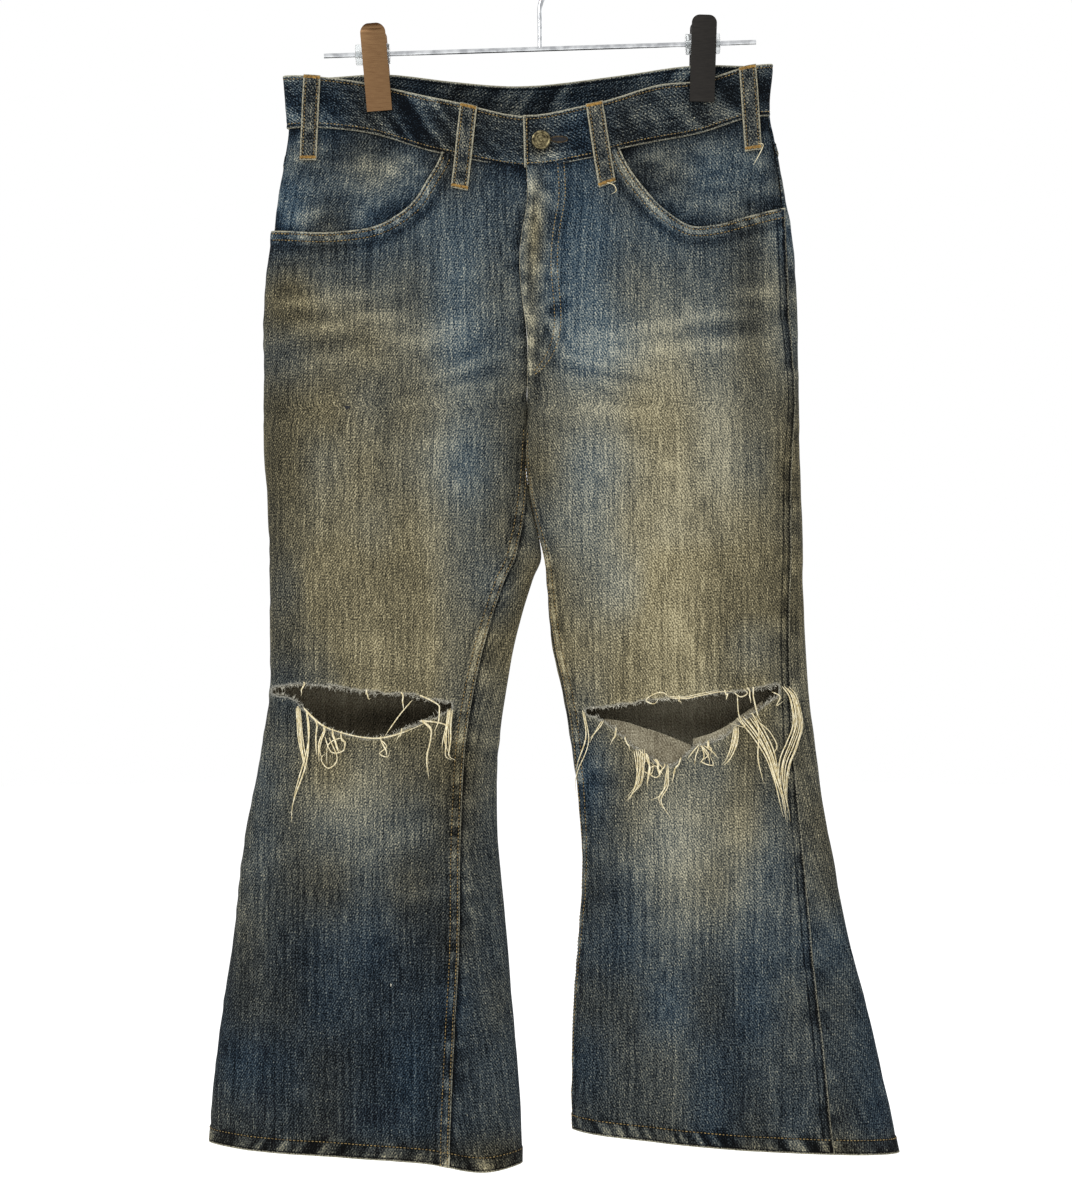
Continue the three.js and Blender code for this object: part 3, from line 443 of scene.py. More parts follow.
def make_mesh(name, points, faces, materials, kinds=None, flat_map=None, fields=None):
    """A mesh object from points in millimetres, with its cloth map and attributes."""
    mesh = bpy.data.meshes.new(name)
    mesh.from_pydata((np.asarray(points) * MM).tolist(), [], faces)
    for material in materials:
        mesh.materials.append(material)
    if kinds is not None:
        mesh.polygons.foreach_set("material_index", np.asarray(kinds, np.int32))
    if flat_map is not None:
        corners = np.empty(len(mesh.loops), np.int32)
        mesh.loops.foreach_get("vertex_index", corners)
        layer = mesh.uv_layers.new(name="cloth")
        layer.data.foreach_set("uv", np.ascontiguousarray(flat_map[corners] * MM, np.float32).ravel())
    for key, values in (fields or {}).items():
        attribute = mesh.attributes.new(key, "FLOAT", "POINT")
        attribute.data.foreach_set("value", np.ascontiguousarray(values, np.float32))
    mesh.shade_smooth()
    mesh.set_sharp_from_angle(angle=SHARP)
    mesh.update()
    made = bpy.data.objects.new(name, mesh)
    bpy.context.scene.collection.objects.link(made)
    return made


def cloth(name, outer, inner, flat_map, fields, out, materials, cuts=()):
    """Joins two grids of points into one closed piece of cloth. out is 1 where the order of the rows and
    columns faces outwards. The first 8 numbers of a row of data are two points and a place on the flat map."""
    size = outer.shape[:2]
    fields = {"warm": warmth_at(outer), "pucker": 0.0, "torn": FAR, **fields}
    layers = [fields[key] for key in FIELDS] + list(cuts)
    layers = [np.broadcast_to(layer, size)[..., None] for layer in layers]
    data = np.concatenate([outer, inner, flat_map] + layers, axis=-1).reshape(size[0] * size[1], -1)
    index = np.arange(len(data)).reshape(size)
    a, b, c, d = index[:-1, :-1], index[:-1, 1:], index[1:, 1:], index[1:, :-1]
    faces = np.stack([a, d, c, b] if out < 0 else [a, b, c, d], -1).reshape(-1, 4).tolist()
    for k in range(len(cuts)):
        data, faces = cut_away(data, faces, 8 + len(FIELDS) + k)
    used = np.unique(np.concatenate([np.array(f) for f in faces])) if cuts else np.arange(len(data))
    renumber = np.full(len(data), -1)
    renumber[used] = np.arange(len(used))
    data = data[used]
    faces = [renumber[f].tolist() for f in faces] if cuts else faces
    n = len(data)
    edges = {edge for face in faces for edge in zip(face, face[1:] + face[:1])}
    rim = sorted([b, a, a + n, b + n] for a, b in edges if (b, a) not in edges)
    linings = [[v + n for v in reversed(face)] for face in faces]
    kinds = [0] * len(faces) + [len(materials) - 1] * len(linings) + [0] * len(rim)
    values = {key: np.tile(data[:, 8 + i], 2) for i, key in enumerate(FIELDS)}
    return make_mesh(name, np.vstack([data[:, 0:3], data[:, 3:6]]), faces + linings + rim, materials,
                     kinds, np.tile(data[:, 6:8], (2, 1)), values)

# %% [markdown]
# ## Where the cloth is rubbed pale, and its small creases
#
# Worn denim is dark blue where it was protected and grey to khaki where it was rubbed: the thighs, the
# cloth above and below the knees, the ridges of the hip creases. One number, the level of fade and painted
# shade, runs from 0 (dark indigo) to 1 (bare pale cotton); besides the wear it carries painted shade, as dark
# lines at the feet of raised seams and edges and under the waistband and the yokes. It has a level for each
# height, and soft patches and creases on it; a pale strip on the left hip's side is painted light. The creases
# are also raised a little, as soft troughs and ridges of uneven length and depth. The hidden back gets similar
# ones where a wearer sits and where the knees bend; the two behind the knee tears are painted light and
# painted shade for what shows through them.

# %% Fade and painted light and shade: levels, patches and creases
LEVEL = table("z level", [
    (-100, 0.24), (-165, 0.27), (-200, 0.32), (-250, 0.37), (-300, 0.39), (-360, 0.41), (-420, 0.43),
    (-560, 0.46), (-650, 0.5), (-700, 0.42), (-760, 0.36), (-830, 0.27), (-890, 0.22), (-960, 0.21),
    (-1090, 0.24),
])
PATCHES = {
    "front": table(FOLD, [
        (-158, -545, 4, 130, 48, 0.12), (-150, -430, 0, 80, 56, 0.03), (-158, -640, 90, 80, 34, 0.07),
        (-164, -765, 0, 66, 46, 0.26), (-228, -500, 0, 170, 17, -0.13), (-84, -470, 3, 150, 30, 0.13),
        (-60, -320, 0, 80, 34, 0.05), (-225, -270, 0, 40, 26, -0.04), (-208, -655, 0, 46, 46, -0.2),
        (-256, -850, 8, 60, 22, 0.14), (-38, -940, -3, 140, 30, 0.15), (-180, -900, 10, 70, 30, 0.04),
        (105, -560, 6, 110, 46, 0.24), (122, -450, -4, 110, 46, 0.16), (104, -370, 4, 90, 34, 0.12),
        (190, -560, 0, 110, 22, 0.05), (204, -300, 0, 100, 12, 0.22), (254, -880, -12, 150, 16, 0.12),
        # (204, -300) is painted light: a pale strip on the left hip's side that offsets its shade where it turns away
        (42, -440, 2, 170, 36, 0.17), (160, -440, 0, 80, 22, 0.16), (196, -300, 0, 56, 26, -0.08),
        (118, -790, 0, 66, 46, 0.33), (46, -756, 0, 56, 20, -0.06), (150, -850, 0, 64, 42, 0.14),
        (32, -900, 0, 90, 22, 0.12), (212, -900, -9, 190, 46, 0.15), (105, -960, 0, 120, 40, 0.18),
        (205, -960, -6, 110, 26, 0.06), (-4, -262, 2, 62, 7, 0.16), (119, -668, 0, 44, 24, 0.13),
        (176, -775, -8, 50, 16, 0.12), (5, -352, -18, 26, 4, -0.2), (15, -343, -32, 20, 4, -0.16),
        (-3, -378, 0, 26, 4, -0.25), (10, -350, -24, 24, 3, 0.14), (22, -352, -40, 16, 4, 0.1),
        (8, -318, -60, 12, 4, -0.12), (-1, -200, 90, 11, 6, 0.5), (-34, -215, 80, 34, 16, -0.08),
        (-30, -260, 0, 60, 16, -0.03),
        # whiskers: the cloth was rubbed pale on the creases that sitting makes, and stayed dark between them
        (-192, -322, 84, 72, 5, 0.11), (-186, -334, 84, 72, 5, -0.07), (-186, -347, 79, 66, 5, 0.1),
        (-178, -360, 79, 60, 5, -0.06), (-172, -373, 74, 58, 5, 0.09), (-200, -296, 88, 50, 5, 0.08),
        (196, -316, 97, 52, 5, 0.09), (190, -329, 97, 56, 5, -0.06), (186, -342, 102, 52, 5, 0.08),
        (176, -368, 106, 46, 5, 0.06), (-72, -384, 72, 44, 4, 0.11), (-60, -399, 80, 40, 4, 0.09),
        (-80, -412, 84, 56, 4, 0.07), (-66, -392, 76, 40, 4, -0.07), (44, -378, 104, 44, 4, 0.12),
        (56, -396, 98, 50, 4, 0.1), (50, -387, 101, 44, 4, -0.07), (66, -356, 108, 40, 4, 0.08),
        (70, -420, 92, 50, 5, 0.06), (-104, -452, 82, 60, 5, 0.05), (120, -470, 98, 54, 5, 0.05),
    ]),
    "back": table(FOLD, [
        (-115, -300, 0, 75, 55, 0.2), (105, -305, 0, 75, 55, 0.2), (-140, -520, 3, 120, 50, 0.12),
        (130, -520, -3, 120, 50, 0.12), (-160, -780, 0, 90, 50, 0.1), (160, -780, 0, 90, 50, 0.1),
        # (112, -708) and (-150, -705) lie behind the knee tears: painted light behind the left knee, painted shade
        # behind the right
        (-10, -260, 0, 60, 20, 0.08), (112, -708, 90, 55, 34, 0.28), (-150, -705, 90, 60, 40, -0.12),
    ]),
}
# How brown the cloth has gone: 0 is clean blue-grey, 1 is khaki.
WARMTH = table("z warm", [
    (-110, 0.3), (-240, 0.3), (-330, 0.5), (-430, 0.8), (-600, 0.95), (-720, 0.85), (-820, 0.6), (-900, 0.4),
    (-1040, 0.4), (-1062, 0.7), (-1090, 0.8),
])
WARM_PATCHES = {
    "front": table(FOLD, [
        (-205, -330, 80, 60, 36, 0.5), (-60, -290, 0, 80, 45, -0.1), (36, -320, 0, 70, 30, -0.5),
        (-58, -470, 0, 130, 34, -0.55), (112, -400, 4, 120, 36, 0.35), (-170, -540, 0, 120, 40, 0.2),
        (-225, -240, 0, 30, 20, -0.3), (44, -500, 0, 150, 34, -0.5), (110, -815, 0, 60, 45, -0.25),
        (-160, -200, 90, 90, 24, 0.35), (0, -190, 90, 16, 10, 0.5), (120, -345, 0, 60, 36, -0.3),
        (-225, -640, 0, 44, 30, -0.35), (-5, -275, 2, 66, 8, 0.6), (42, -752, 0, 56, 24, -0.6),
        (-246, -780, 0, 60, 20, -0.4), (200, -780, 0, 60, 20, -0.4),
    ]),
    "back": table(FOLD, [(-115, -300, 0, 75, 55, 0.3), (105, -305, 0, 75, 55, 0.3)]),
}
CREASES = {
    # the last column is how much the crease is rubbed pale
    "front": table(FOLD + " pale", [
        (-168, -333, 101, 74, 7, 0.9, 0.13), (-150, -352, 98, 84, 6, 0.8, 0.10),
        (-190, -312, 106, 44, 6, 0.8, 0.08), (-165, -378, 94, 60, 8, 0.7, 0.06),
        (-182, -290, 83, 46, 6, -0.7, -0.06), (-84, -352, 64, 40, 7, 0.9, 0.08),
        (-50, -362, 52, 32, 5, -0.9, -0.05), (128, -342, 79, 82, 6, 0.9, 0.12),
        (142, -364, 84, 70, 7, 0.8, 0.08), (178, -318, 76, 42, 6, 0.8, 0.09),
        (172, -345, 82, 40, 7, -0.8, -0.07), (66, -372, 118, 40, 7, 0.9, 0.07),
        (40, -392, 126, 28, 5, -0.8, -0.05), (60, -420, 98, 40, 9, 0.8, 0.05),
        (-196, -548, 5, 92, 9, 0.8, 0.03), (-92, -560, -5, 104, 9, 0.8, 0.04),
        (-116, -505, 12, 60, 8, -0.7, -0.03), (64, -560, 4, 90, 9, 0.7, 0.03),
        (182, -570, -6, 95, 10, 0.8, 0.02), (150, -520, -14, 60, 8, -0.8, -0.04),
        (128, -622, -28, 34, 8, 0.9, 0.06), (112, -560, 24, 40, 8, -0.7, -0.05),
        (-34, -708, 94, 24, 5, 1.1, 0.06), (-38, -722, 86, 22, 4, -0.9, -0.05),
        (-226, -712, 76, 26, 6, 0.9, 0.04), (-232, -806, 72, 34, 7, 0.9, 0.05),
        (-214, -836, 100, 40, 8, -0.8, -0.03), (-110, -790, 74, 44, 9, 0.8, 0.06),
        (-84, -835, 84, 34, 8, 0.8, 0.07), (-60, -880, 100, 28, 7, -0.8, -0.04),
        (-150, -862, 96, 60, 10, 0.8, 0.05), (52, -728, 80, 28, 5, 1.1, 0.05),
        (48, -742, 92, 26, 4, -0.9, -0.05), (60, -806, 98, 34, 7, 0.9, 0.06),
        (74, -838, 82, 44, 7, -0.8, -0.04), (96, -868, 76, 46, 8, 0.8, 0.05),
        (186, -846, 100, 40, 8, 0.8, 0.05), (222, -735, 84, 22, 5, 0.9, 0.05),
        (208, -905, 78, 36, 8, -0.8, -0.04), (-250, -985, 6, 80, 10, 0.9, 0.04),
        (-140, -985, -2, 86, 9, -0.9, -0.03), (-80, -1000, -5, 76, 9, 0.9, 0.04),
        (120, -1000, 4, 80, 10, 0.9, 0.04), (210, -985, -7, 84, 11, -0.9, -0.03),
        (60, -985, 5, 80, 8, 0.8, 0.03), (-155, -222, 72, 30, 7, 0.8, 0.06),
        (150, -215, 100, 36, 7, 0.8, 0.06), (15, -322, 60, 14, 4, 0.9, 0.1),
        (9, -336, 48, 15, 4, -0.9, -0.1), (20, -346, 38, 14, 4, 0.8, 0.1), (12, -300, 74, 13, 4, 0.7, 0.08),
    ]),
    "back": table(FOLD + " pale", [
        (-150, -418, 74, 70, 8, 1.1, 0.09), (-140, -440, 84, 62, 7, -1.0, -0.06),
        (130, -424, 106, 70, 8, 1.1, 0.09), (128, -448, 94, 60, 7, -1.0, -0.06),
        (-60, -395, 40, 42, 9, 1.0, 0.06), (40, -395, -40, 42, 9, 1.0, 0.06),
        (-165, -672, 96, 62, 7, 1.2, 0.11), (-140, -706, 82, 66, 7, 1.2, 0.11),
        (-120, -688, 90, 50, 6, -1.0, -0.07), (-160, -735, 100, 46, 7, 1.0, 0.08),
        (150, -676, 84, 62, 7, 1.2, 0.11), (126, -712, 98, 66, 7, 1.2, 0.11),
        (150, -694, 92, 50, 6, -1.0, -0.07), (160, -742, 80, 46, 7, 1.0, 0.08),
        (-110, -880, 5, 90, 11, 1.0, 0.03), (-220, -900, 9, 90, 12, 1.0, 0.03),
        (120, -890, -4, 90, 11, 1.0, 0.03), (240, -900, -12, 90, 12, 1.0, 0.03),
        (-190, -560, 5, 90, 11, 0.9, 0.03), (-80, -560, -5, 90, 11, 0.9, 0.03),
        (80, -560, 5, 90, 11, 0.9, 0.03), (190, -560, -5, 90, 11, 0.9, 0.03),
    ]),
}


def front_share(points):
    return smooth(-points[..., 1], -4, 4)


def on_faces(rows, points, column):
    x, z, share = points[..., 0], points[..., 2], front_share(points)
    return mix(ridges(rows["back"], x, z, column), ridges(rows["front"], x, z, column), share)


def level_at(points):
    return (read(LEVEL, "z", points[..., 2], "level") + on_faces(PATCHES, points, "height")
            + 1.5 * on_faces(CREASES, points, "pale"))


def warmth_at(points):
    warm = read(WARMTH, "z", points[..., 2], "warm") + on_faces(WARM_PATCHES, points, "height")
    return np.clip(warm + 0.25 * wobble(points[..., 0], points[..., 2], 37, 52, 91), 0, 1.2)


def unevenness(points, seed):
    """The cloth's own softness, which stops short of the waistband's pieces."""
    x, z = points[..., 0], points[..., 2]
    calm = smooth(-z, 215, 260)
    return calm * (on_faces(CREASES, points, "height") + 0.7 * wobble(x, z, 42, 66, seed)
                   + 0.25 * wobble(x, z, 12, 19, seed + 1))


print("patches:", len(PATCHES["front"]["x"]), "creases:", len(CREASES["front"]["x"]))

# %% [markdown]
# ## The pocket mouths and the torn knees
#
# A scoop pocket's mouth is a curve from the waistband to the outseam, with a turned hem on its edge. Each
# knee is torn straight across, so the warp threads have broken and the pale weft hangs out of the edges.

# %% The curves that are cut
SCOOP = {
    "right": [(-82, -130), (-82, -170), (-86.2, -196.7), (-97.5, -216.7), (-109.7, -235.9), (-127.1, -249.8),
              (-144.1, -258.5), (-166.5, -262.5), (-192.9, -263.6), (-219.5, -261.4), (-275, -256)],
    "left": [(62, -125), (62, -165), (69.6, -192.4), (78.8, -210.6), (93.1, -228.9), (107, -242.8),
             (130.5, -257.6), (151.6, -256.9), (178.9, -249.7), (211.3, -240.8), (260, -230)],
}
RIP = {
    "right": table("x top bottom", [
        (-235, -661.5, -665.5), (-214, -657.5, -671), (-192, -657.7, -692), (-166, -661.5, -701),
        (-138, -664.5, -704), (-115, -666, -695), (-96, -670, -687.5), (-77, -672.7, -680),
    ]),
    "left": table("x top bottom", [
        (40, -678.5, -683.5), (60, -676.3, -692), (81, -673.3, -711), (104, -670, -726), (115, -669, -728),
        (133, -667.5, -712.5), (156, -664, -704), (178, -662, -688), (193, -660.5, -677.5),
        (208, -657.5, -667),
    ]),
}
FAR = 60


def smooth_path(corners, step):
    """A rounded path through corners, with a point every few millimetres."""
    p = np.asarray(corners, float)
    p = np.vstack([2 * p[0] - p[1], p, 2 * p[-1] - p[-2]])
    pieces = []
    for i in range(1, len(p) - 2):
        count = max(2, int(np.linalg.norm(p[i + 1] - p[i]) / step))
        t = np.linspace(0, 1, count, endpoint=False)[:, None]
        pieces.append(0.5 * (2 * p[i] + (p[i + 1] - p[i - 1]) * t + (2 * p[i - 1] - 5 * p[i] + 4 * p[i + 1]
                      - p[i + 2]) * t**2 + (3 * p[i] - p[i - 1] - 3 * p[i + 1] + p[i + 2]) * t**3))
    return np.vstack(pieces + [p[-2][None]])


def scoop_distance(side, points):
    """Distance from a pocket's edge in the front's plane: above 0 on the front panel, below 0 in the mouth."""
    x, z = points[..., 0], points[..., 2]
    path = smooth_path(SCOOP[side], 5)
    nearest, sign = np.full(x.shape, 1e9), np.ones(x.shape)
    for a, b in zip(path[:-1], path[1:]):
        d = b - a
        t = np.clip(((x - a[0]) * d[0] + (z - a[1]) * d[1]) / d.dot(d), 0, 1)
        px, pz = x - a[0] - t * d[0], z - a[1] - t * d[1]
        far = np.hypot(px, pz)
        closer = far < nearest
        nearest = np.where(closer, far, nearest)
        sign = np.where(closer, np.sign(d[0] * pz - d[1] * px), sign)
    return nearest * sign * (1 if side == "right" else -1)


def tear_depth(side, points):
    """How deep inside the torn opening a point lies: above 0 in the hole, below 0 on the cloth."""
    x, y, z = points[..., 0], points[..., 1], points[..., 2]
    rip = RIP[side]
    ragged = 0.9 * wobble(x, z, 2.6, 9, 31) + 1.1 * wobble(x, z, 9, 20, 32)
    inside = np.minimum(read(rip, "x", x, "top") - z, z - read(rip, "x", x, "bottom")) + ragged
    inside = np.minimum(inside, np.minimum(x - rip["x"][0], rip["x"][-1] - x))
    return np.where(y < -1, inside, -FAR)

# %% [markdown]
# ## Denim
#
# Denim is a cotton twill: indigo-dyed warp threads over undyed weft threads. The warp is uneven (slub) yarn,
# so the faded face shows fine upright streaks, and the twill draws fine slanting lines about 1 mm apart.
# Washing leaves pale specks, and rubbing bares the weft at every edge. The threads are finer than the
# picture shows, so the twill is drawn 2.1 mm apart and the specks about 1 mm wide. The rows of stitches pull
# grooves into the cloth; the colour is darker along them, for indigo that wasn't rubbed off and as painted
# shade in the grooves.

# %% The denim material, from the cloth map in metres and the level of fade and painted shade on the mesh
TWILL_PITCH, TWILL_TURN, SPECK = 2.1, -32, 1.0
STREAK_WIDTH, STREAK_LENGTH, SLUB_WIDTH, SLUB_LENGTH = 1.5, 17.0, 2.7, 190.0
# How much each texture adds to the level of fade and painted shade; the puckers' share is partly painted shade
STREAKED, SLUBBED, CLOUDED, SPECKED, TWILLED, PUCKERED = 0.65, 0.38, 0.24, 1.6, 0.2, 0.16


def denim(name, blue, brown, pale, streaks=1.0, specks=1.0, rows=(2.4, 8.3)):
    """blue and brown are six tones each, from the darkest level, 0, to the palest, 1. rows says how far from an
    edge the rows of stitches lie."""
    material, tree, shader = new_material(name)
    flat = add_node(tree, "UVMap", {}, uv_map="cloth").outputs["UV"]
    field = {key: add_node(tree, "Attribute", {}, attribute_name=key).outputs["Fac"] for key in FIELDS}

    def noise(width, length, detail):
        sized = add_node(tree, "Mapping", {"Vector": flat, "Scale": (1000 / width, 1000 / length, 1)})
        return add_node(tree, "TexNoise", {"Vector": sized.outputs[0], "Scale": 1.0, "Detail": detail}).outputs["Fac"]

    def plus(total, texture, weight):
        """Adds a texture that is 0.5 on average, times a weight."""
        return maths(tree, "MULTIPLY_ADD", maths(tree, "SUBTRACT", texture, 0.5), weight, total)

    def blend(share, first, second):
        return add_node(tree, "Mix", {0: share, 6: first, 7: second}, data_type="RGBA").outputs[2]

    streak = noise(STREAK_WIDTH, STREAK_LENGTH, 2.0)
    slub = noise(SLUB_WIDTH, SLUB_LENGTH, 1.0)
    speck = noise(SPECK, SPECK * 1.5, 1.0)
    cloud = add_node(tree, "TexNoise", {"Vector": flat, "Scale": 26.0, "Detail": 3.0, "Roughness": 0.6})
    slanted = add_node(tree, "Mapping", {"Vector": flat, "Rotation": (0, 0, math.radians(TWILL_TURN))})
    twill = add_node(tree, "TexWave", {"Vector": slanted.outputs[0], "Scale": 0.314 * 1000 / TWILL_PITCH,
                                       "Distortion": 1.2, "Detail": 1.0, "Detail Scale": 2.0},
                     wave_type="BANDS", bands_direction="X").outputs["Fac"]
    level = field["fade"]
    for texture, weight in ((streak, STREAKED * streaks), (slub, SLUBBED * streaks),
                            (cloud.outputs["Fac"], CLOUDED), (speck, SPECKED * specks), (twill, TWILLED * specks)):
        level = plus(level, texture, weight)
    # Darker along each row of stitches: unworn indigo, and painted shade of the groove that the stitches pull.
    for place in rows:
        off = maths(tree, "ABSOLUTE", maths(tree, "SUBTRACT", field["edge"], place))
        level = maths(tree, "ADD", level, mapped(tree, off, 0.3, 1.3, -0.3, 0.0))
    # Paler on the raised puckers and darker between them: the ridges were rubbed pale, and the troughs carry painted
    # shade.
    level = maths(tree, "MULTIPLY_ADD", field["pucker"], PUCKERED, level)
    dyed = []
    for tones in (blue, brown):
        ramp = add_node(tree, "ValToRGB", {"Fac": level})
        points = ramp.color_ramp.elements
        while len(points) < len(tones):
            points.new(0.5)
        for number, tone in enumerate(tones):
            points[number].position, points[number].color = number / (len(tones) - 1), colour(tone)
        dyed.append(ramp.outputs["Color"])
    # the thread itself is pale where a finished edge or a torn edge was rubbed bare
    bare = mapped(tree, plus(field["edge"], speck, -3.4), 0.2, 1.9, 0.85, 0.0)
    loose = mapped(tree, plus(field["torn"], speck, -4.0), 0.2, 2.2, 0.7, 0.0)
    worn = blend(bare, blend(field["warm"], *dyed), colour(pale))
    relief = maths(tree, "MULTIPLY_ADD", streak, 0.8, maths(tree, "MULTIPLY_ADD", twill, 0.6, speck))
    bump = add_node(tree, "Bump", {"Strength": 0.45, "Distance": 0.0007, "Height": relief})
    give(tree, shader, {"Base Color": blend(loose, worn, colour("#96948a")), "Normal": bump.outputs[0],
                        "Roughness": 0.95, "Specular IOR Level": 0.06, "Sheen Weight": 0.01,
                        "Sheen Roughness": 0.6})
    return material


BLUE = ["#02060c", "#0f1c28", "#283947", "#505d63", "#7d837e", "#acac9f"]
BROWN = ["#080704", "#201f18", "#3f3c30", "#605a45", "#877e62", "#b4ab8a"]
INSIDE = ["#1b1812", "#38342a", "#575041", "#756e5c", "#908a76", "#aca590"]
LOOPED = ["#04070a", "#181d20", "#363b3d", "#5a5b54", "#827f6d", "#aca589"]
denim_face = denim("washed indigo denim", BLUE, BROWN, "#aaa58e")
denim_band = denim("washed denim of the waistband", BLUE, BROWN, "#a9a590", specks=1.35, rows=(3.0,))
denim_back = denim("denim, the undyed inside of the twill", INSIDE, INSIDE, "#a09a86", 0.6, 0.7, ())
denim_loop = denim("folded denim of the belt loops", LOOPED, LOOPED, "#aaa48c", 0.7, 1.3, (2.4,))
print("denim materials:", [m.name for m in (denim_face, denim_band, denim_back, denim_loop)])

# %% [markdown]
# ## Fronts and backs
#
# Each front reaches from the waistband to the hem. Its seams are felled: both layers are folded into each
# other and sewn down, which leaves a flat ridge along the seam. Sewing pulls the cloth, so it puckers there.

# %% Building the four large panels
HEM_ROW, MOUTH_END, FLY_FOOT, PLUMB_X = 12.4, -290, -395, 125
shaped = {}  # for each piece: its face and normals, and distances on it that stitches follow


def measure(points):
    """How far along its row each point lies from the first and from the last edge of the cloth."""
    run = run_along(points, 1) + SEAM_GAP / 2
    return run, run[:, -1:] + SEAM_GAP / 2 - run


def panel_columns(name, level, spots):
    return even_columns(lambda u, z: panel_point(name, u, z), level, spots)


def panel_grid(name, top, step, middle):
    side = PANELS[name]["side"]
    hem = LEGS[side]["z"][-1]
    share = np.linspace(0, 1, round((top(0.5) - CROTCH) / step) + 1)
    legs = np.concatenate([np.arange(CROTCH - step, hem + HEM_DEPTH + 2, -step),
                           hem + np.array([15, 14.2, 13.3, 11, 8.5, 6, 3.5, 1.6, 0.6, 0])])
    heights = np.concatenate([mix(top(0.5), CROTCH, share), legs])
    s = panel_columns(name, heights, spots_for(middle))
    z = np.where(np.arange(len(heights))[:, None] < len(share),
                 mix(top(s), CROTCH, np.append(share, np.ones(len(legs)))[:, None]), heights[:, None])
    points = panel_point(name, s, z)
    sag = 6 if side == "left" else 9 * hill(points[..., 0], -50, 36)
    points[..., 2] -= sag * (1 - smooth(z - hem, 0, 90))  # the worn hems hang a little lower
    return s, z, points


def near(distance, width, soft=0.8):
    """1 within a width of an edge, and 0 beyond it."""
    return 1 - smooth(distance, width - soft, width + soft)


def placket_width(z):
    """How wide the sewn-down fly is: straight above, curving in below like a J."""
    return 34 * np.sqrt(np.clip(1 - np.clip((-318 - z) / 72, 0, 1) ** 2, 0, 1))


def soft_edge(gap):
    """The distance from a seam that was rubbed less than an edge."""
    return np.interp(gap, [0, 2.4, FAR], [1.0, 2.4, FAR])


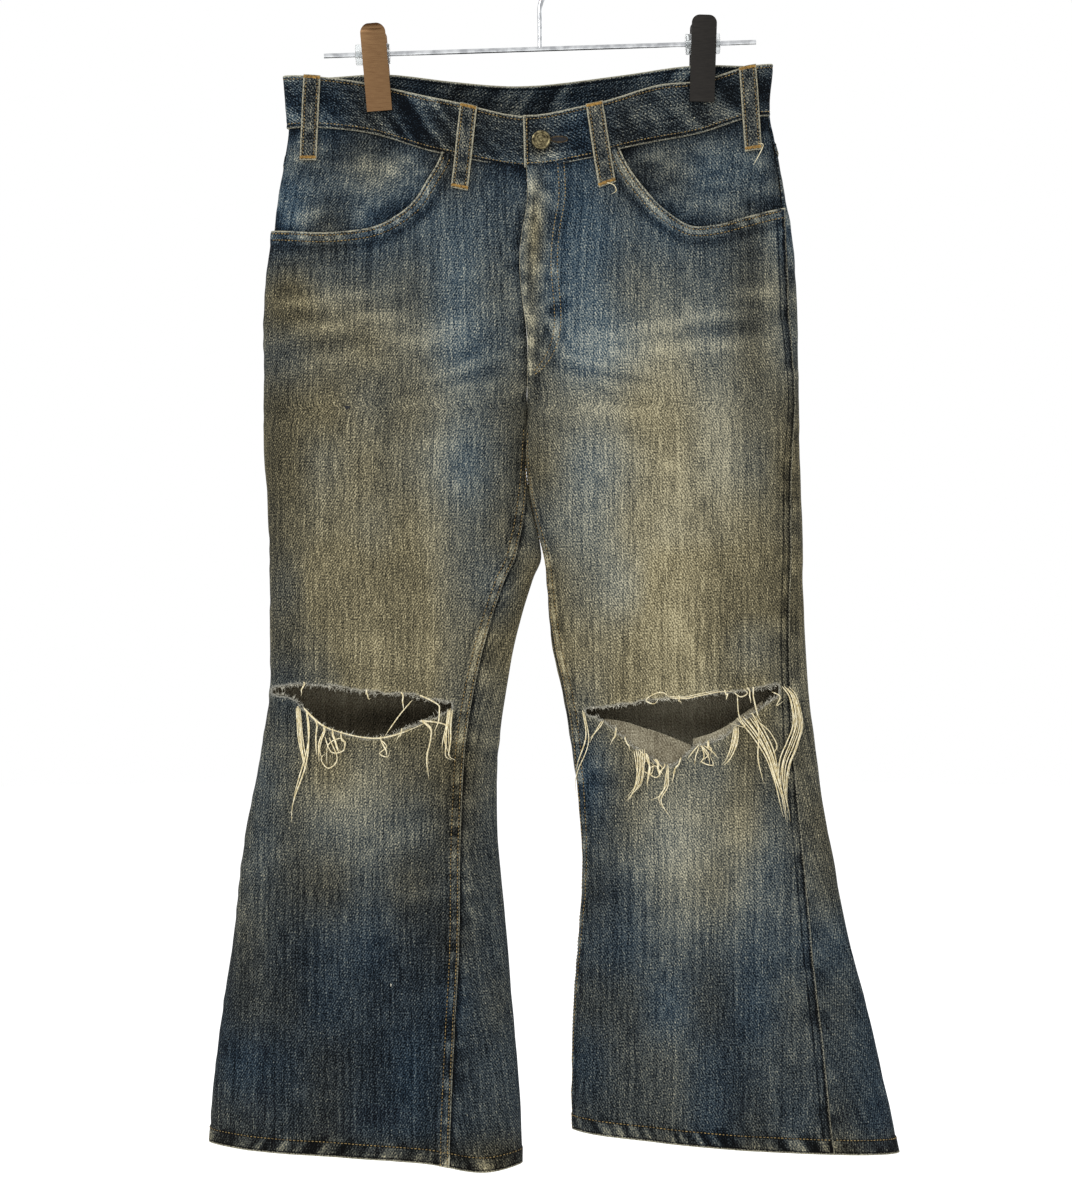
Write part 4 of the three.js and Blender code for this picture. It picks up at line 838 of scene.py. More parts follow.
def big_panel(name, top, step, middle, seed):
    side, out = PANELS[name]["side"], PANELS[name]["out"]
    front = name.startswith("front")
    s, base, points = panel_grid(name, top, step, middle)
    inn, outer = measure(points)
    x, z = points[..., 0], points[..., 2]
    above_hem = base - LEGS[side]["z"][-1]
    hem = near(above_hem, HEM_DEPTH)
    leg = smooth(-base, -CROTCH, 440)
    along_in = wobble(z, inn * 0.3, 9.5, 7, seed + 2)
    along_out = wobble(z, outer * 0.3, 9, 7, seed + 3)
    along_hem = wobble(inn + 0.7 * above_hem, 0, 7.5, 9, seed + 4)
    pucker = along_hem * near(above_hem, 17, 4) + along_out * near(outer, 11, 5) + along_in * near(inn, 12, 4)
    lift = unevenness(points, seed) + HEM_EXTRA * hem
    lift += 0.38 * along_hem * near(above_hem, 19, 5) + 0.5 * along_out * near(outer, 13, 6)
    lift += 0.4 * along_in * near(inn, 13, 5)
    lift += 1.5 * hill(x, 2, 16) * hill(z, -478, 52)  # the legs lean on each other here
    # the material's rows of stitches lie 2.4 and 8.3 mm from an edge, and the hem's row lies higher than that
    hem_edge = np.interp(above_hem, [0, 1.6, 3.5, 9, HEM_ROW, 15, FAR], [0.3, 1.9, 4.2, 5.2, 8.3, 10.9, FAR])
    edge = np.minimum(hem_edge, np.where(leg > 0.5, soft_edge(inn) if front else FAR, FAR))
    # the hem was pulled askew, so it wore in stripes
    roping = wobble(inn + 0.6 * above_hem, 0, 5, 9, seed + 8)
    rungs = wobble(z, inn * 0.3, 4.5, 9, seed + 10)
    fade = level_at(points) + 0.04 * along_hem * near(above_hem, 16) + 0.06 * near(above_hem, 6, 3)
    # Painted shade: the cloth is darkened just under the waistband on the fronts and under the yokes on the backs.
    fade += 0.32 * roping * near(above_hem, 12, 3) - 0.3 * np.exp(-(top(s) - base) / 4)
    cuts, torn = [], FAR
    if front:
        ridge = leg * near(inn, 10.4)
        lift += 0.8 * ridge - 0.5 * near(inn, 0.9, 0.9) * leg + 0.45 * near(outer, 2.6, 1.0)
        # Painted shade: dark lines at the foot of the inseam's ridge and beside the raised outseam edge.
        fade += (0.06 + 0.22 * rungs) * ridge - 0.13 * leg * hill(inn, 12, 1.6)
        fade -= 0.16 * hill(outer, 4, 1.8)
        mouth = scoop_distance(side, points)
        pocket = base > MOUTH_END
        band = near(mouth, 10.2) * pocket
        weave = wobble(x * 0.8 + z * 0.6, mouth * 0.3, 6, 8, seed + 5)
        lift += 0.75 * band - 0.45 * near(mouth, 0.7, 0.9) * pocket + 0.3 * weave * near(mouth, 13, 4)
        pucker += 0.8 * weave * near(mouth, 12, 3) * pocket
        # Painted shadow: a dark line just below the pocket mouth's hemmed band.
        fade += (0.1 + 0.14 * weave) * band - 0.2 * hill(mouth, 14, 4.5) * (base > MOUTH_END - 10)
        edge = np.minimum(np.minimum(edge, soft_edge(outer)), np.where(pocket, np.abs(mouth), FAR))
        rise = smooth(z, FLY_FOOT - 30, FLY_FOOT)
        if side == "left":
            width = placket_width(z)
            fly, placket = near(inn - width, 0, 0.7) * (z > FLY_FOOT), near(inn, width - 2, 4)
            crumple = wobble(x, z, 7, 9, seed + 9)
            lift += rise * (1.0 * near(inn, 4, 3) + 0.5 * fly) - 0.5 * rise * near(inn, 0.7, 0.8)
            fade += rise * (0.2 * near(inn, 6, 4) + placket * (0.05 + 0.04 * crumple))
            # Painted shade: a dark line at the foot of the raised placket's edge.
            fade -= 0.12 * rise * hill(inn - width, 2, 2.5)
            pucker += rise * placket * crumple
            fly_edge = np.interp(inn, [0, 1.5, 1.7, FAR], [0.3, 3.6, 9.8, FAR])
            edge = np.minimum(edge, np.where(rise > 0.3, fly_edge, FAR))
        else:
            lift -= rise * 0.8 * near(inn, 3, 3)
            # Painted shadow: the right front's edge, where it goes under the fly, is darkened.
            fade -= 0.14 * rise * near(inn, 5, 4)
        lift += 1.5 * near(mouth, 3, 4) * smooth(z, -262, -228)
        cuts = [-mouth, tear_depth(side, points)]
        torn = np.clip(-cuts[1], 0, FAR)
        lift += 0.9 * near(torn, 3, 3) * (0.6 + wobble(x, z, 8, 9, seed + 6))
        fade += 0.1 * near(torn, 5, 4)
    else:
        rise = smooth(z, -425, -405)
        lift += 0.5 * rise * near(inn, 10) * (side == "left")
        edge = np.minimum(edge, np.where(rise > 0.3, soft_edge(inn), FAR))
        # Painted shadow: a dark line on the back beside the front's raised inseam.
        fade -= 0.34 * leg * hill(inn, 0.5, 2.2)
    face = points + normals_of(points, out) * lift[..., None]
    normal = normals_of(face, out)
    lining = face - normal * (DENIM + 2 * HEM_EXTRA * hem)[..., None]
    # the thread that passes PLUMB_X hangs straight down
    start = np.array([row_run[np.argmin(np.abs(np.abs(row_x) - PLUMB_X))] for row_x, row_run in zip(x, inn)])
    start = np.convolve(np.pad(start, 6, mode="edge"), np.ones(13) / 13, "valid")[:, None]
    fields = {"fade": fade, "pucker": pucker, "edge": np.minimum(edge, FAR), "torn": torn}
    made = cloth(name + "_cloth", face, lining, joined(inn - start + 400 * seed, z), fields, out,
                 [denim_face, denim_back], cuts)
    shaped[name] = {"face": face, "normal": normal, "in": inn, "hem": above_hem}
    return made


def yoke_depth(s):
    return mix(YOKE_MIDDLE, YOKE_SIDE, s)


pieces = {}
for seed, side in enumerate(("right", "left")):
    front, back = "front_" + side, "back_" + side
    pieces[front] = big_panel(front, lambda s: BAND_SEAM - BAND_GAP + 0 * s, 3, 74, 11 + seed)
    pieces[back] = big_panel(back, lambda s: BAND_SEAM - yoke_depth(s) - SEAM_GAP, 4, 56, 21 + seed)
print({name: len(made.data.polygons) for name, made in pieces.items()})

# %% [markdown]
# ## Yokes, pocket facings and back pockets
#
# The yokes are the two slanted pieces under the back of the waistband. A facing is the denim that shows inside
# each scoop pocket, a little behind the front, with painted shade near the pocket's edge and under the
# waistband. The back pockets are plain patches that lie on the backs.

# %% Yokes and facings
def small_cloth(name, points, out, thick, fade, edge, flat_map, materials, pucker=0.0, lift=0.0, cuts=(),
                torn=FAR):
    normal = normals_of(points, out)
    face = points + normal * np.broadcast_to(lift, points.shape[:2])[..., None]
    normal = normals_of(face, out)
    fields = {"fade": fade, "pucker": pucker, "edge": np.minimum(edge, FAR), "torn": torn}
    made = cloth(name, face, face - normal * thick, flat_map, fields, out, materials, cuts)
    shaped[name] = {"face": face, "normal": normal}
    return made


YOKE_ROWS = np.array([0, 0.02, 0.05] + list(np.linspace(0.1, 0.8, 12)) + [0.84, 0.88, 0.92, 0.955, 0.98, 1])
FACING_END, FACING_REACH, FACING_LIMIT = -306, 22, {"right": 3.2, "left": -0.9}
for seed, side in enumerate(("right", "left")):
    back, front, name = "back_" + side, "front_" + side, "yoke_%s_cloth" % side
    level = mix(BAND_SEAM - BAND_GAP, BAND_SEAM - yoke_depth(0.5), YOKE_ROWS)
    s = panel_columns(back, level, spots_for(56))
    z = mix(BAND_SEAM - BAND_GAP, BAND_SEAM - yoke_depth(s) - 0.9, YOKE_ROWS[:, None])
    points = panel_point(back, s, z)
    inn = measure(points)[0]
    low = (1 - YOKE_ROWS[:, None]) * yoke_depth(s)
    pulled = wobble(inn, low, 8, 9, 41 + seed)
    pieces["yoke_" + side] = small_cloth(
        name, points, PANELS[back]["out"], DENIM, level_at(points) - 0.03 + 0.05 * near(low, 10),
        np.minimum(low, inn * 1.2) + 0.8, joined(inn, low), [denim_face, denim_back], pulled * near(low, 14, 4),
        0.6 * near(low, 10) + 0.4 * pulled * near(low, 14, 4) - 0.35 * near(low, 0.7, 0.8) + 0.15 * pulled)
    shaped[name]["low"] = low

    level = np.linspace(BAND_SEAM - BAND_GAP, FACING_END, 42)
    points = panel_point(front, panel_columns(front, level, spots_for(58)), level[:, None])
    x, z = points[..., 0], points[..., 2]
    inn, outer = measure(points)
    mouth = scoop_distance(side, points)
    # Painted shade: the facing is darkened near the pocket's mouth and its outer side, and under the waistband's
    # seam.
    shadow = 0.26 * np.exp(-np.clip(-mouth, 0, 99) / 11) + 0.1 * near(outer, 10, 8)
    fade = (0.42 + 0.1 * wobble(x, z, 34, 13, 49 + seed) - shadow + 0.12 * wobble(x, z, 13, 7, 45 + seed)
            - 0.22 * hill(z, read(FRONT_EDGE, "x", x, "seam"), 12))
    pieces["pocket_facing_" + side] = small_cloth(
        "pocket_facing_%s_cloth" % side, points, PANELS[front]["out"], DENIM, fade, FAR,
        joined(inn - 700, level[:, None]), [denim_face, denim_back], wobble(x, z, 13, 9, 45 + seed) * 0.6,
        -DENIM - LAYER_GAP - 0.5 - 0.5 * wobble(x, z, 22, 16, 47 + seed),
        [mouth - FACING_REACH, points[..., 1] - FACING_LIMIT[side]])
print("yokes and facings:", [len(pieces[n].data.polygons) for n in pieces if "yoke" in n or "facing" in n])

# %% Laying points on the cloth, straight from the front or from behind
# Where a ray starts on the y axis, in metres, and which way it goes
SHOT = {"front": (-0.3, 1), "back": (0.3, -1)}


def hull_of(name):
    mesh = pieces[name].data
    return BVHTree.FromPolygons([v.co[:] for v in mesh.vertices], [p.vertices[:] for p in mesh.polygons])


def lay(name, x, z, face="front"):
    """Where lines through (x, z) first meet a piece of cloth, in millimetres, and the normal there, as two
    arrays; where they miss, nan."""
    tree, (start, way) = hull_of(name), SHOT[face]
    found = np.full(np.shape(x) + (6,), np.nan)
    for spot in np.ndindex(np.shape(x)):
        place, normal = tree.ray_cast(Vector((x[spot] * MM, start, z[spot] * MM)), Vector((0, way, 0)))[:2]
        if place is not None:
            found[spot] = [*(np.array(place) / MM), *(np.array(normal) * (-1 if normal.y * way > 0 else 1))]
    return found[..., :3], found[..., 3:]

# %% Back pockets
POCKET_TOP, POCKET_SIDE, POCKET_TIP, POCKET_HALF, POCKET_TAPER = -244, -352, -374, 71, 8
POCKET_MIDDLE = {"right": -125, "left": 106}
u = np.concatenate([[-1, -0.985, -0.96, -0.92], np.linspace(-0.86, 0.86, 31), [0.92, 0.96, 0.985, 1]])
t = np.concatenate([[0, 0.01, 0.03, 0.06], np.linspace(0.1, 0.93, 26), [0.955, 0.975, 0.99, 1]])[:, None]
bottom = POCKET_SIDE + (POCKET_TIP - POCKET_SIDE) * (1 - np.abs(u))
z = mix(POCKET_TOP, bottom, t)
half = POCKET_HALF - POCKET_TAPER * np.clip((POCKET_TOP - z) / (POCKET_TOP - POCKET_SIDE), 0, 1)
top = POCKET_TOP - z
edge = np.minimum(np.minimum((1 - np.abs(u)) * half, (z - bottom) * 0.95), top)
for seed, side in enumerate(("right", "left")):
    x = POCKET_MIDDLE[side] + u * half
    points = lay("back_" + side, x, z, "back")[0]
    pulled = wobble(x, z, 8, 8, 51 + seed)
    pieces["back_pocket_" + side] = small_cloth(
        "back_pocket_%s_cloth" % side, points, 1, DENIM, level_at(points) + 0.06, edge + 0.5,
        joined(x + 900, z), [denim_face, denim_back], pulled * near(edge, 12, 4),
        LAYER_GAP + DENIM + 0.35 * pulled * near(edge, 12, 4) + 0.5 * near(top, 12)
        - 0.4 * near(edge, 0.7, 0.8))
print("back pockets:", [len(pieces["back_pocket_" + side].data.polygons) for side in ("right", "left")])

# %% [markdown]
# ## Waistband and belt loops
#
# The waistband is one long strip, folded double, that runs once round. Its end overlaps its start at the
# button. Two rows of stitches pull it into slanting puckers, and its top edge is worn pale. Seven belt loops,
# folded strips with two rows of stitches, are tacked over it.

# %% Waistband
BAND_START, BAND_END, TUCK, BAND_LIFT = 81, 450.5, BAND + SEAM_GAP, 0.6
OVERLAP = (91, 101)  # the angles between which the tucked end comes out from under the other
drop = np.array([0, 0.3, 0.8, 1.6, 2.6, 3.6, 4.8, 6.5, 9, 12, 15, 18.5, 22, 25.5, 29, 32, 35, 38, 39.8, 41.2,
                 42.4, 43.4, 44.4, 45.2, 45.7, 46])[:, None]
around = even_columns(lambda u, z: hip_point(z + 0 * u, mix(BAND_START, BAND_END, u)),
                      np.array([-143.0]), spots_for(330))
angle, top = np.broadcast_arrays(mix(BAND_START, BAND_END, around), drop)
points = hip_point(BAND_TOP - top, angle)
x = points[..., 0]
band_run, band_left = measure(points)
low = drop[-1] - top
tucked = -TUCK * (1 - smooth(angle, *OVERLAP))
slant = wobble(band_run + 0.9 * top, top * 0.4, 8, 12, 61) * (0.5 + 0.5 * wobble(band_run, 0, 45, 1, 62))
relief = 0.55 * slant - 0.4 * hill(top, 3.4, 1.2) - 0.4 * hill(low, 4, 1.2)
rounding = 1.1 * (1 - np.sqrt(1 - (1 - np.clip(np.minimum(top, low) / 1.8, 0, 1)) ** 2))
band_end = np.minimum(band_left, FAR)
normal = normals_of(points, 1)
lift = BAND_LIFT + tucked + relief - rounding - 0.5 * near(band_end, 0.6, 0.8) + 0.3 * near(band_end, 9)
face = points + normal * lift[..., None]
lining = points + normal * (BAND_LIFT - BAND + tucked + 0.4 * relief + rounding)[..., None]
fade = (0.17 + 0.12 * wobble(band_run, top, 42, 20, 63) + 0.12 * hill(top, 1, 5) + 0.3 * slant
        + 0.16 * wobble(band_run + 0.8 * top, 0, 4.5, 9, 64) * near(low, 13, 5)
        + 0.07 * hill(low, 8, 7) + 0.45 * hill(x, 4, 13) * hill(low, 7, 7) * (points[..., 1] < 0))
edge = np.minimum(np.minimum(top * 0.9, low + 0.7), band_end * 0.9)
pieces["waistband"] = cloth("waistband_cloth", face, lining, joined(top + 1300, band_run),
                            {"fade": fade, "pucker": 1.5 * slant, "edge": edge}, 1, [denim_band])
shaped["waistband"] = {"face": face, "normal": normals_of(face, 1), "top": top, "low": low, "left": band_left}
print("waistband:", round(float(band_run[5].max())), "mm round")


# %% Belt loops
def hip_surface(face, x, z):
    centre = read(HIPS, "z", z, "centre")
    half = np.where(x > centre, read(HIPS, "z", z, "right") - centre, centre - read(HIPS, "z", z, "left"))
    turn = np.degrees(np.arccos(np.clip((x - centre) / half, -1, 1)))
    return hip_point(z, turn if face == "front" else 360 - turn)


LOOP_WIDTH, LOOP_LENGTH, LOOP_BOW = 14.5, 76, 0.7
LOOPS = [
    # face, x at the top, x at the foot
    ("front", -199.5, -203), ("front", -61.8, -70), ("front", 46.9, 58.3), ("front", 182, 187),
    ("back", 108, 110), ("back", -12, -12), ("back", -112, -115),
]
across = np.array([-0.5, -0.47, -0.42, -0.33, -0.2, 0, 0.2, 0.33, 0.42, 0.47, 0.5])
down = np.concatenate([[0, 0.008, 0.02], np.linspace(0.045, 0.955, 36), [0.98, 0.992, 1]])[:, None]
z = BAND_TOP + 0.5 - LOOP_LENGTH * down + 0 * across
side_gap = (0.5 - np.abs(across)) * LOOP_WIDTH + 0 * z
end_gap = np.minimum(down, 1 - down) * LOOP_LENGTH + 0 * z
round_off = 0.75 * (near(side_gap, 0.5, 0.7) + near(end_gap, 0.3, 0.5)).clip(0, 1)
bow = LOOP_BOW * np.sin(math.pi * np.clip((down - 0.06) / 0.5, 0, 1))
edge = np.minimum(np.interp(side_gap, [0, 2.4, 9], [0.3, 2.4, 9]), end_gap * 1.5 + 0.4)
for number, (face_name, x_top, x_foot) in enumerate(LOOPS):
    x = mix(x_top, x_foot, down) + across * LOOP_WIDTH
    foot, out = (0.4, -1) if face_name == "front" else (1.1, 1)
    points = folded(hip_surface(face_name, x, z))
    rest = mix(1, foot, np.clip((BAND_SEAM - 3 - z) / 16, 0, 1))
    worn = wobble(across * 9, z, 4, 8, 71 + number)
    lift = rest + LOOP + bow - round_off - 0.25 * hill(side_gap, 2.4, 0.7) + 0.12 * worn
    normal = normals_of(points, out)
    fade = 0.36 + 0.12 * worn - 0.08 * near(np.abs(across) * LOOP_WIDTH, 3, 2) + 0.12 * near(end_gap, 8, 4)
    name, face = "belt_loop_%d" % (number + 1), points + normal * lift[..., None]
    pieces[name] = cloth(name + "_cloth", face, points + normal * rest[..., None], joined(x + 90 * number, z),
                         {"fade": fade, "pucker": worn * 0.5, "edge": edge}, out, [denim_loop])
    shaped[name] = {"face": face, "normal": normal, "across": across * LOOP_WIDTH + 0 * z,
                    "down": down * LOOP_LENGTH + 0 * z}
print("belt loops:", len(LOOPS))

# %% [markdown]
# ## The folded-over cloth in the left knee's tear
#
# The lower lip of the left knee's tear has turned over, so the undyed inside of its cloth shows as a pale
# sliver inside the opening, and a narrow one along the other slope.

# %% Knee flaps
def leg_face(side, x, z):
    """How far forward the plain front of a leg stands, also where it is torn away."""
    middle, half = leg_sides(side, z)
    c = np.clip((x - middle) / half, -1, 1)
    y = -read(LEGS[side], "z", z, "front") * np.sqrt(1 - c * c)
    return y - ridges(FOLDS["front"], x, z) * np.minimum(1, np.abs(y) / FOLD_EASE)


FLAP_THICK = 1.2
FLAPS = {
    # x along the tear, the fold line's height there, and how far the fold stands back
    "knee_flap_low": table("x fold back", [(56, -687, 3), (80, -692, 4), (104, -700, 4.5), (131, -710, 4)]),
    "knee_flap_side": table("x fold back", [(133, -705, 3), (156, -697, 3.5), (176, -684, 3.5), (194, -672, 3)]),
}
t = np.linspace(0, 1, 9)[:, None]
for name, flap in FLAPS.items():
    x = np.linspace(flap["x"][0], flap["x"][-1], 30)[None, :]
    fold = read(flap, "x", x, "fold") + 0.5 * wobble(x, 0, 7, 1, 81)
    z = mix(fold, np.minimum(read(RIP["left"], "x", x, "bottom") - 1.5, fold - 2), t)
    x = x + 0 * t
    depth = leg_face("left", x, z) + DENIM + 0.4 + read(flap, "x", x, "back") * (1 - t) ** 1.5
    pieces[name] = small_cloth(name, joined(x, depth, z), -1, FLAP_THICK, 0.62 + 0.12 * wobble(x, z, 14, 9, 82),
                               t * 30 + 1.2, joined(x, z), [denim_back, denim_face], torn=(1 - t) * 14)
print("flaps:", list(FLAPS))

# %% [markdown]
# ## Zip and fly shield
#
# Behind the fly lie the zip's tape with its closed teeth, and a shield of denim that keeps the zip off the
# wearer. Both follow the left front and stop at the foot of the fly.

# %% Metal, plastic, yarn and thread
def plain(name, tones, metal, rough, size=(1.0, 1.0, 1.0), spread=(0.35, 0.65), bumps=0.0):
    """A material whose colour runs between two tones in an uneven grain of the given size in millimetres."""
    material, tree, shader = new_material(name)
    place = add_node(tree, "TexCoord", {}).outputs["Object"]
    sized = add_node(tree, "Mapping", {"Vector": place, "Scale": tuple(1000 / s for s in size)})
    grain = add_node(tree, "TexNoise", {"Vector": sized.outputs[0], "Scale": 1.0, "Detail": 3.0})
    grain = grain.outputs["Fac"]
    ramp = add_node(tree, "ValToRGB", {"Fac": grain})
    for point, at, tone in zip(ramp.color_ramp.elements, spread, tones):
        point.position, point.color = at, colour(tone)
    give(tree, shader, {"Metallic": metal, "Base Color": ramp.outputs["Color"],
                        "Roughness": mapped(tree, grain, 0.3, 0.7, rough - 0.06, rough + 0.06)})
    if bumps:
        bump = add_node(tree, "Bump", {"Strength": bumps, "Distance": 0.0003, "Height": grain})
        give(tree, shader, {"Normal": bump.outputs[0]})
    return material


gold_thread = plain("golden-brown sewing thread", ("#5e4418", "#b48d45"), 0, 0.8, (1.6, 1.6, 1.6))
khaki_thread = plain("faded sewing thread", ("#54452a", "#a8905c"), 0, 0.85, (2.5, 2.5, 2.5))
dark_thread = plain("worn thread of the buttonhole", ("#1f1a12", "#57472c"), 0, 0.85, (1.5, 1.5, 1.5))
cream_yarn = plain("bare cotton yarn", ("#b9a878", "#f2e9ca"), 0, 0.95, (1.0, 1.0, 3), bumps=0.6)
grey_fuzz = plain("frayed cotton fibres", ("#68665c", "#dedac8"), 0, 0.95, (3, 3, 3))
# Painted shadow: a dark sheet laid in the buttonhole's slit and in the small hole on the right thigh.
painted_hole_shadow = plain("painted shadow in the buttonhole and the thigh hole", ("#0b0d10", "#1b1f24"), 0, 0.95)
zip_tape = plain("woven cotton zip tape", ("#2b3138", "#4a5058"), 0, 0.9, (0.8, 0.8, 0.8), bumps=0.5)
zip_brass = plain("dull brass of the zip", ("#6b5526", "#a2874a"), 1, 0.4, (2, 2, 2))
button_brass = plain("antique brass of the button", ("#2f2a1f", "#8f8564"), 1, 0.36, (3, 3, 3), bumps=0.3)
print("materials in all:", len(bpy.data.materials))

# %% Fly pieces
FLY_ROWS, FLY_COLUMNS, GRAIN_POINTS, FURTHEST = 46, 14, 14, 12  # a line breaks where points are further apart


def fly_layer(name, reach, to_x, offset, thick, materials):
    level = np.linspace(BAND_SEAM - BAND_GAP, FLY_END + 6, FLY_ROWS)
    s = panel_columns("front_left", level, lambda total: np.linspace(SEAM_GAP / 2, reach, FLY_COLUMNS))
    points = panel_point("front_left", s, level[:, None])
    return small_cloth(name, points, -1, thick, level_at(points) - 0.16, FAR,
                       joined(measure(points)[0], points[..., 2]), materials, lift=-offset,
                       cuts=[points[..., 0] - to_x, FLY_END - points[..., 2]])


TAPE_TO, SHIELD_TO, TAPE_OFFSET, TAPE_THICK = 4, 22, DENIM + LAYER_GAP, 1.0
pieces["zip"] = fly_layer("zip_tape_cloth", 24, TAPE_TO, TAPE_OFFSET, TAPE_THICK, [zip_tape])
pieces["fly_shield"] = fly_layer("fly_shield_cloth", 42, SHIELD_TO, TAPE_OFFSET + TAPE_THICK + LAYER_GAP, DENIM,
                                 [denim_back, denim_face])


def read_along(data, column, value):
    """The line on a shaped piece where a distance has a value, one point for each row that reaches it."""
    line = []
    for row, (distance, spot, normal) in enumerate(zip(column, data["face"], data["normal"])):
        order = np.argsort(distance)
        wanted = value[row] if np.ndim(value) else value
        if distance[order[0]] <= wanted <= distance[order[-1]]:
            line.append([np.interp(wanted, distance[order], part[order]) for part in (*spot.T, *normal.T)])
    return np.array(line)


def turned(data, column):
    """The same piece with its columns as rows, for lines that run across it."""
    return {"face": data["face"].swapaxes(0, 1), "normal": data["normal"].swapaxes(0, 1)}, data[column].T


def spaced(line, pitch, start=0.5):
    """Even places along a line of points with normals: place, normal and direction of each."""
    steps = np.linalg.norm(np.diff(line[:, :3], axis=0), axis=1)
    run = np.concatenate([[0], np.cumsum(np.minimum(steps, FURTHEST))])
    at = np.arange(start * pitch, run[-1] - 0.3 * pitch, pitch)
    spot, ahead, behind = (joined(*(np.interp(at + step, run, part) for part in line.T))
                           for step in (0, 0.5, -0.5))
    way = (ahead - behind)[:, :3]
    broken = np.interp(at, run[1:], (steps > FURTHEST).astype(float)) > 0
    keep = (np.linalg.norm(way, axis=1) > 1e-6) & ~broken
    return spot[keep, :3], spot[keep, 3:6], way[keep] / np.linalg.norm(way[keep], axis=1)[:, None]


def grains(lines, pitch, length, width, height, turn=0.0):
    """Stitches: short rounded grains of thread, laid end to end along lines on the cloth."""
    ring = np.array([(0, 0.5), (1, 0), (0, -0.5), (-0.5, 0)])  # (up, side)
    shape = np.array([(-0.5, -0.35, 0)] + [(s, up * t, side * t) for s, t in ((-0.3, 0.85), (0, 1), (0.3, 0.85))
                                           for up, side in ring] + [(0.5, -0.35, 0)])
    faces = [[0, 1 + k, 1 + (k + 1) % 4] for k in range(4)] + [[13, 9 + (k + 1) % 4, 9 + k] for k in range(4)]
    faces += [[1 + 4 * j + k, 5 + 4 * j + k, 5 + 4 * j + (k + 1) % 4, 1 + 4 * j + (k + 1) % 4]
              for j in range(2) for k in range(4)]
    spots, ups, ways = (np.concatenate(part) for part in zip(*[spaced(line, pitch) for line in lines]))
    ups /= np.linalg.norm(ups, axis=1, keepdims=True)
    sides = np.cross(ups, ways)
    c, s = math.cos(math.radians(turn)), math.sin(math.radians(turn))
    ways, sides = ways * c + sides * s, sides * c - ways * s
    scale = np.random.default_rng(5).uniform(0.85, 1.15, (len(spots), 1, 1))
    points = (spots[:, None] + ways[:, None] * shape[None, :, :1] * length * scale
              + ups[:, None] * shape[None, :, 1:2] * height + sides[:, None] * shape[None, :, 2:] * width)
    starts = GRAIN_POINTS * np.arange(len(spots))[:, None]
    return points.reshape(-1, 3), [grain for face in faces for grain in (starts + face).tolist()]


TOOTH_PITCH = 1.5
tape_line = read_along(shaped["zip_tape_cloth"], np.tile(np.arange(float(FLY_COLUMNS)), (FLY_ROWS, 1)), 4.0)
tape_line = tape_line[(tape_line[:, 2] > FLY_END + 3) & (tape_line[:, 2] < -208)]
tape_line[:, :3] -= tape_line[:, 3:6] * 0.5
points, faces = grains([tape_line], TOOTH_PITCH, 3.6, 1.0, 0.7, turn=90)
pieces["zip_teeth"] = make_mesh("zip_teeth", points, faces, [zip_brass])
print("zip teeth:", len(points) // GRAIN_POINTS)

# %% [markdown]
# ## Stitching
#
# Each stitch is a small grain of thread, 2.3 mm long, that lies in a shallow dent. Seams that are felled have
# two rows, edges have one. The belt loops are held by bar tacks, which are short stitches packed side by
# side. The back pockets have plain double stitching along their edges.

# %% Rows of stitches
STITCH_PITCH, STITCH = 3.2, (2.3, 0.75, 0.45)  # the pitch, and a stitch's length, width and height
SEAM_ROWS, YOKE_ROWS_AT, FLY_ROWS_AT = (2.2, 8.4), (2.2, 8.6), (1.0, 6.5)  # mm from the edge of the cloth
SEAT_END, INSEAM_TOP, PLACKET_END = -415, -434, -388
rows, tacks = [], []


def keep_above(line, low):
    return line[line[:, 2] > low]


for side in ("right", "left"):
    front, back, yoke = shaped["front_" + side], shaped["back_" + side], shaped["yoke_%s_cloth" % side]
    for distance in SEAM_ROWS:
        line = read_along(front, front["in"], distance)
        rows.append(line[line[:, 2] < INSEAM_TOP])
    for data in (front, back):
        rows.append(read_along(*turned(data, "hem"), HEM_ROW))
    for distance in YOKE_ROWS_AT:
        rows.append(read_along(*turned(yoke, "low"), distance))
        if side == "left":
            rows.append(keep_above(read_along(back, back["in"], distance), SEAT_END))

band, left = shaped["waistband"], shaped["front_left"]
rows += [read_along(*turned(band, "top"), 3.4), read_along(*turned(band, "low"), 4.0),
         read_along(band, band["left"], 3.0)]
for inset in FLY_ROWS_AT:
    j_line = read_along(left, left["in"], placket_width(left["face"][:, 0, 2]) - inset)
    rows.append(keep_above(j_line, PLACKET_END))


# %% Stitches that are laid on the cloth from the front or from behind
def lay_line(name, corners, face="front", step=2.0):
    """A line of points with normals on a piece, under straight runs between corners in x and z."""
    corners = np.array(corners, float)
    run = run_along(corners, 0)
    at = np.linspace(0, run[-1], max(2, int(run[-1] / step)))
    line = np.concatenate(lay(name, *(np.interp(at, run, part) for part in corners.T), face), -1)
    return line[~np.isnan(line[:, 0])]


def beside(path, distance):
    way = np.gradient(path, axis=0)
    way /= np.linalg.norm(way, axis=1, keepdims=True)
    return path + joined(-way[:, 1], way[:, 0]) * distance


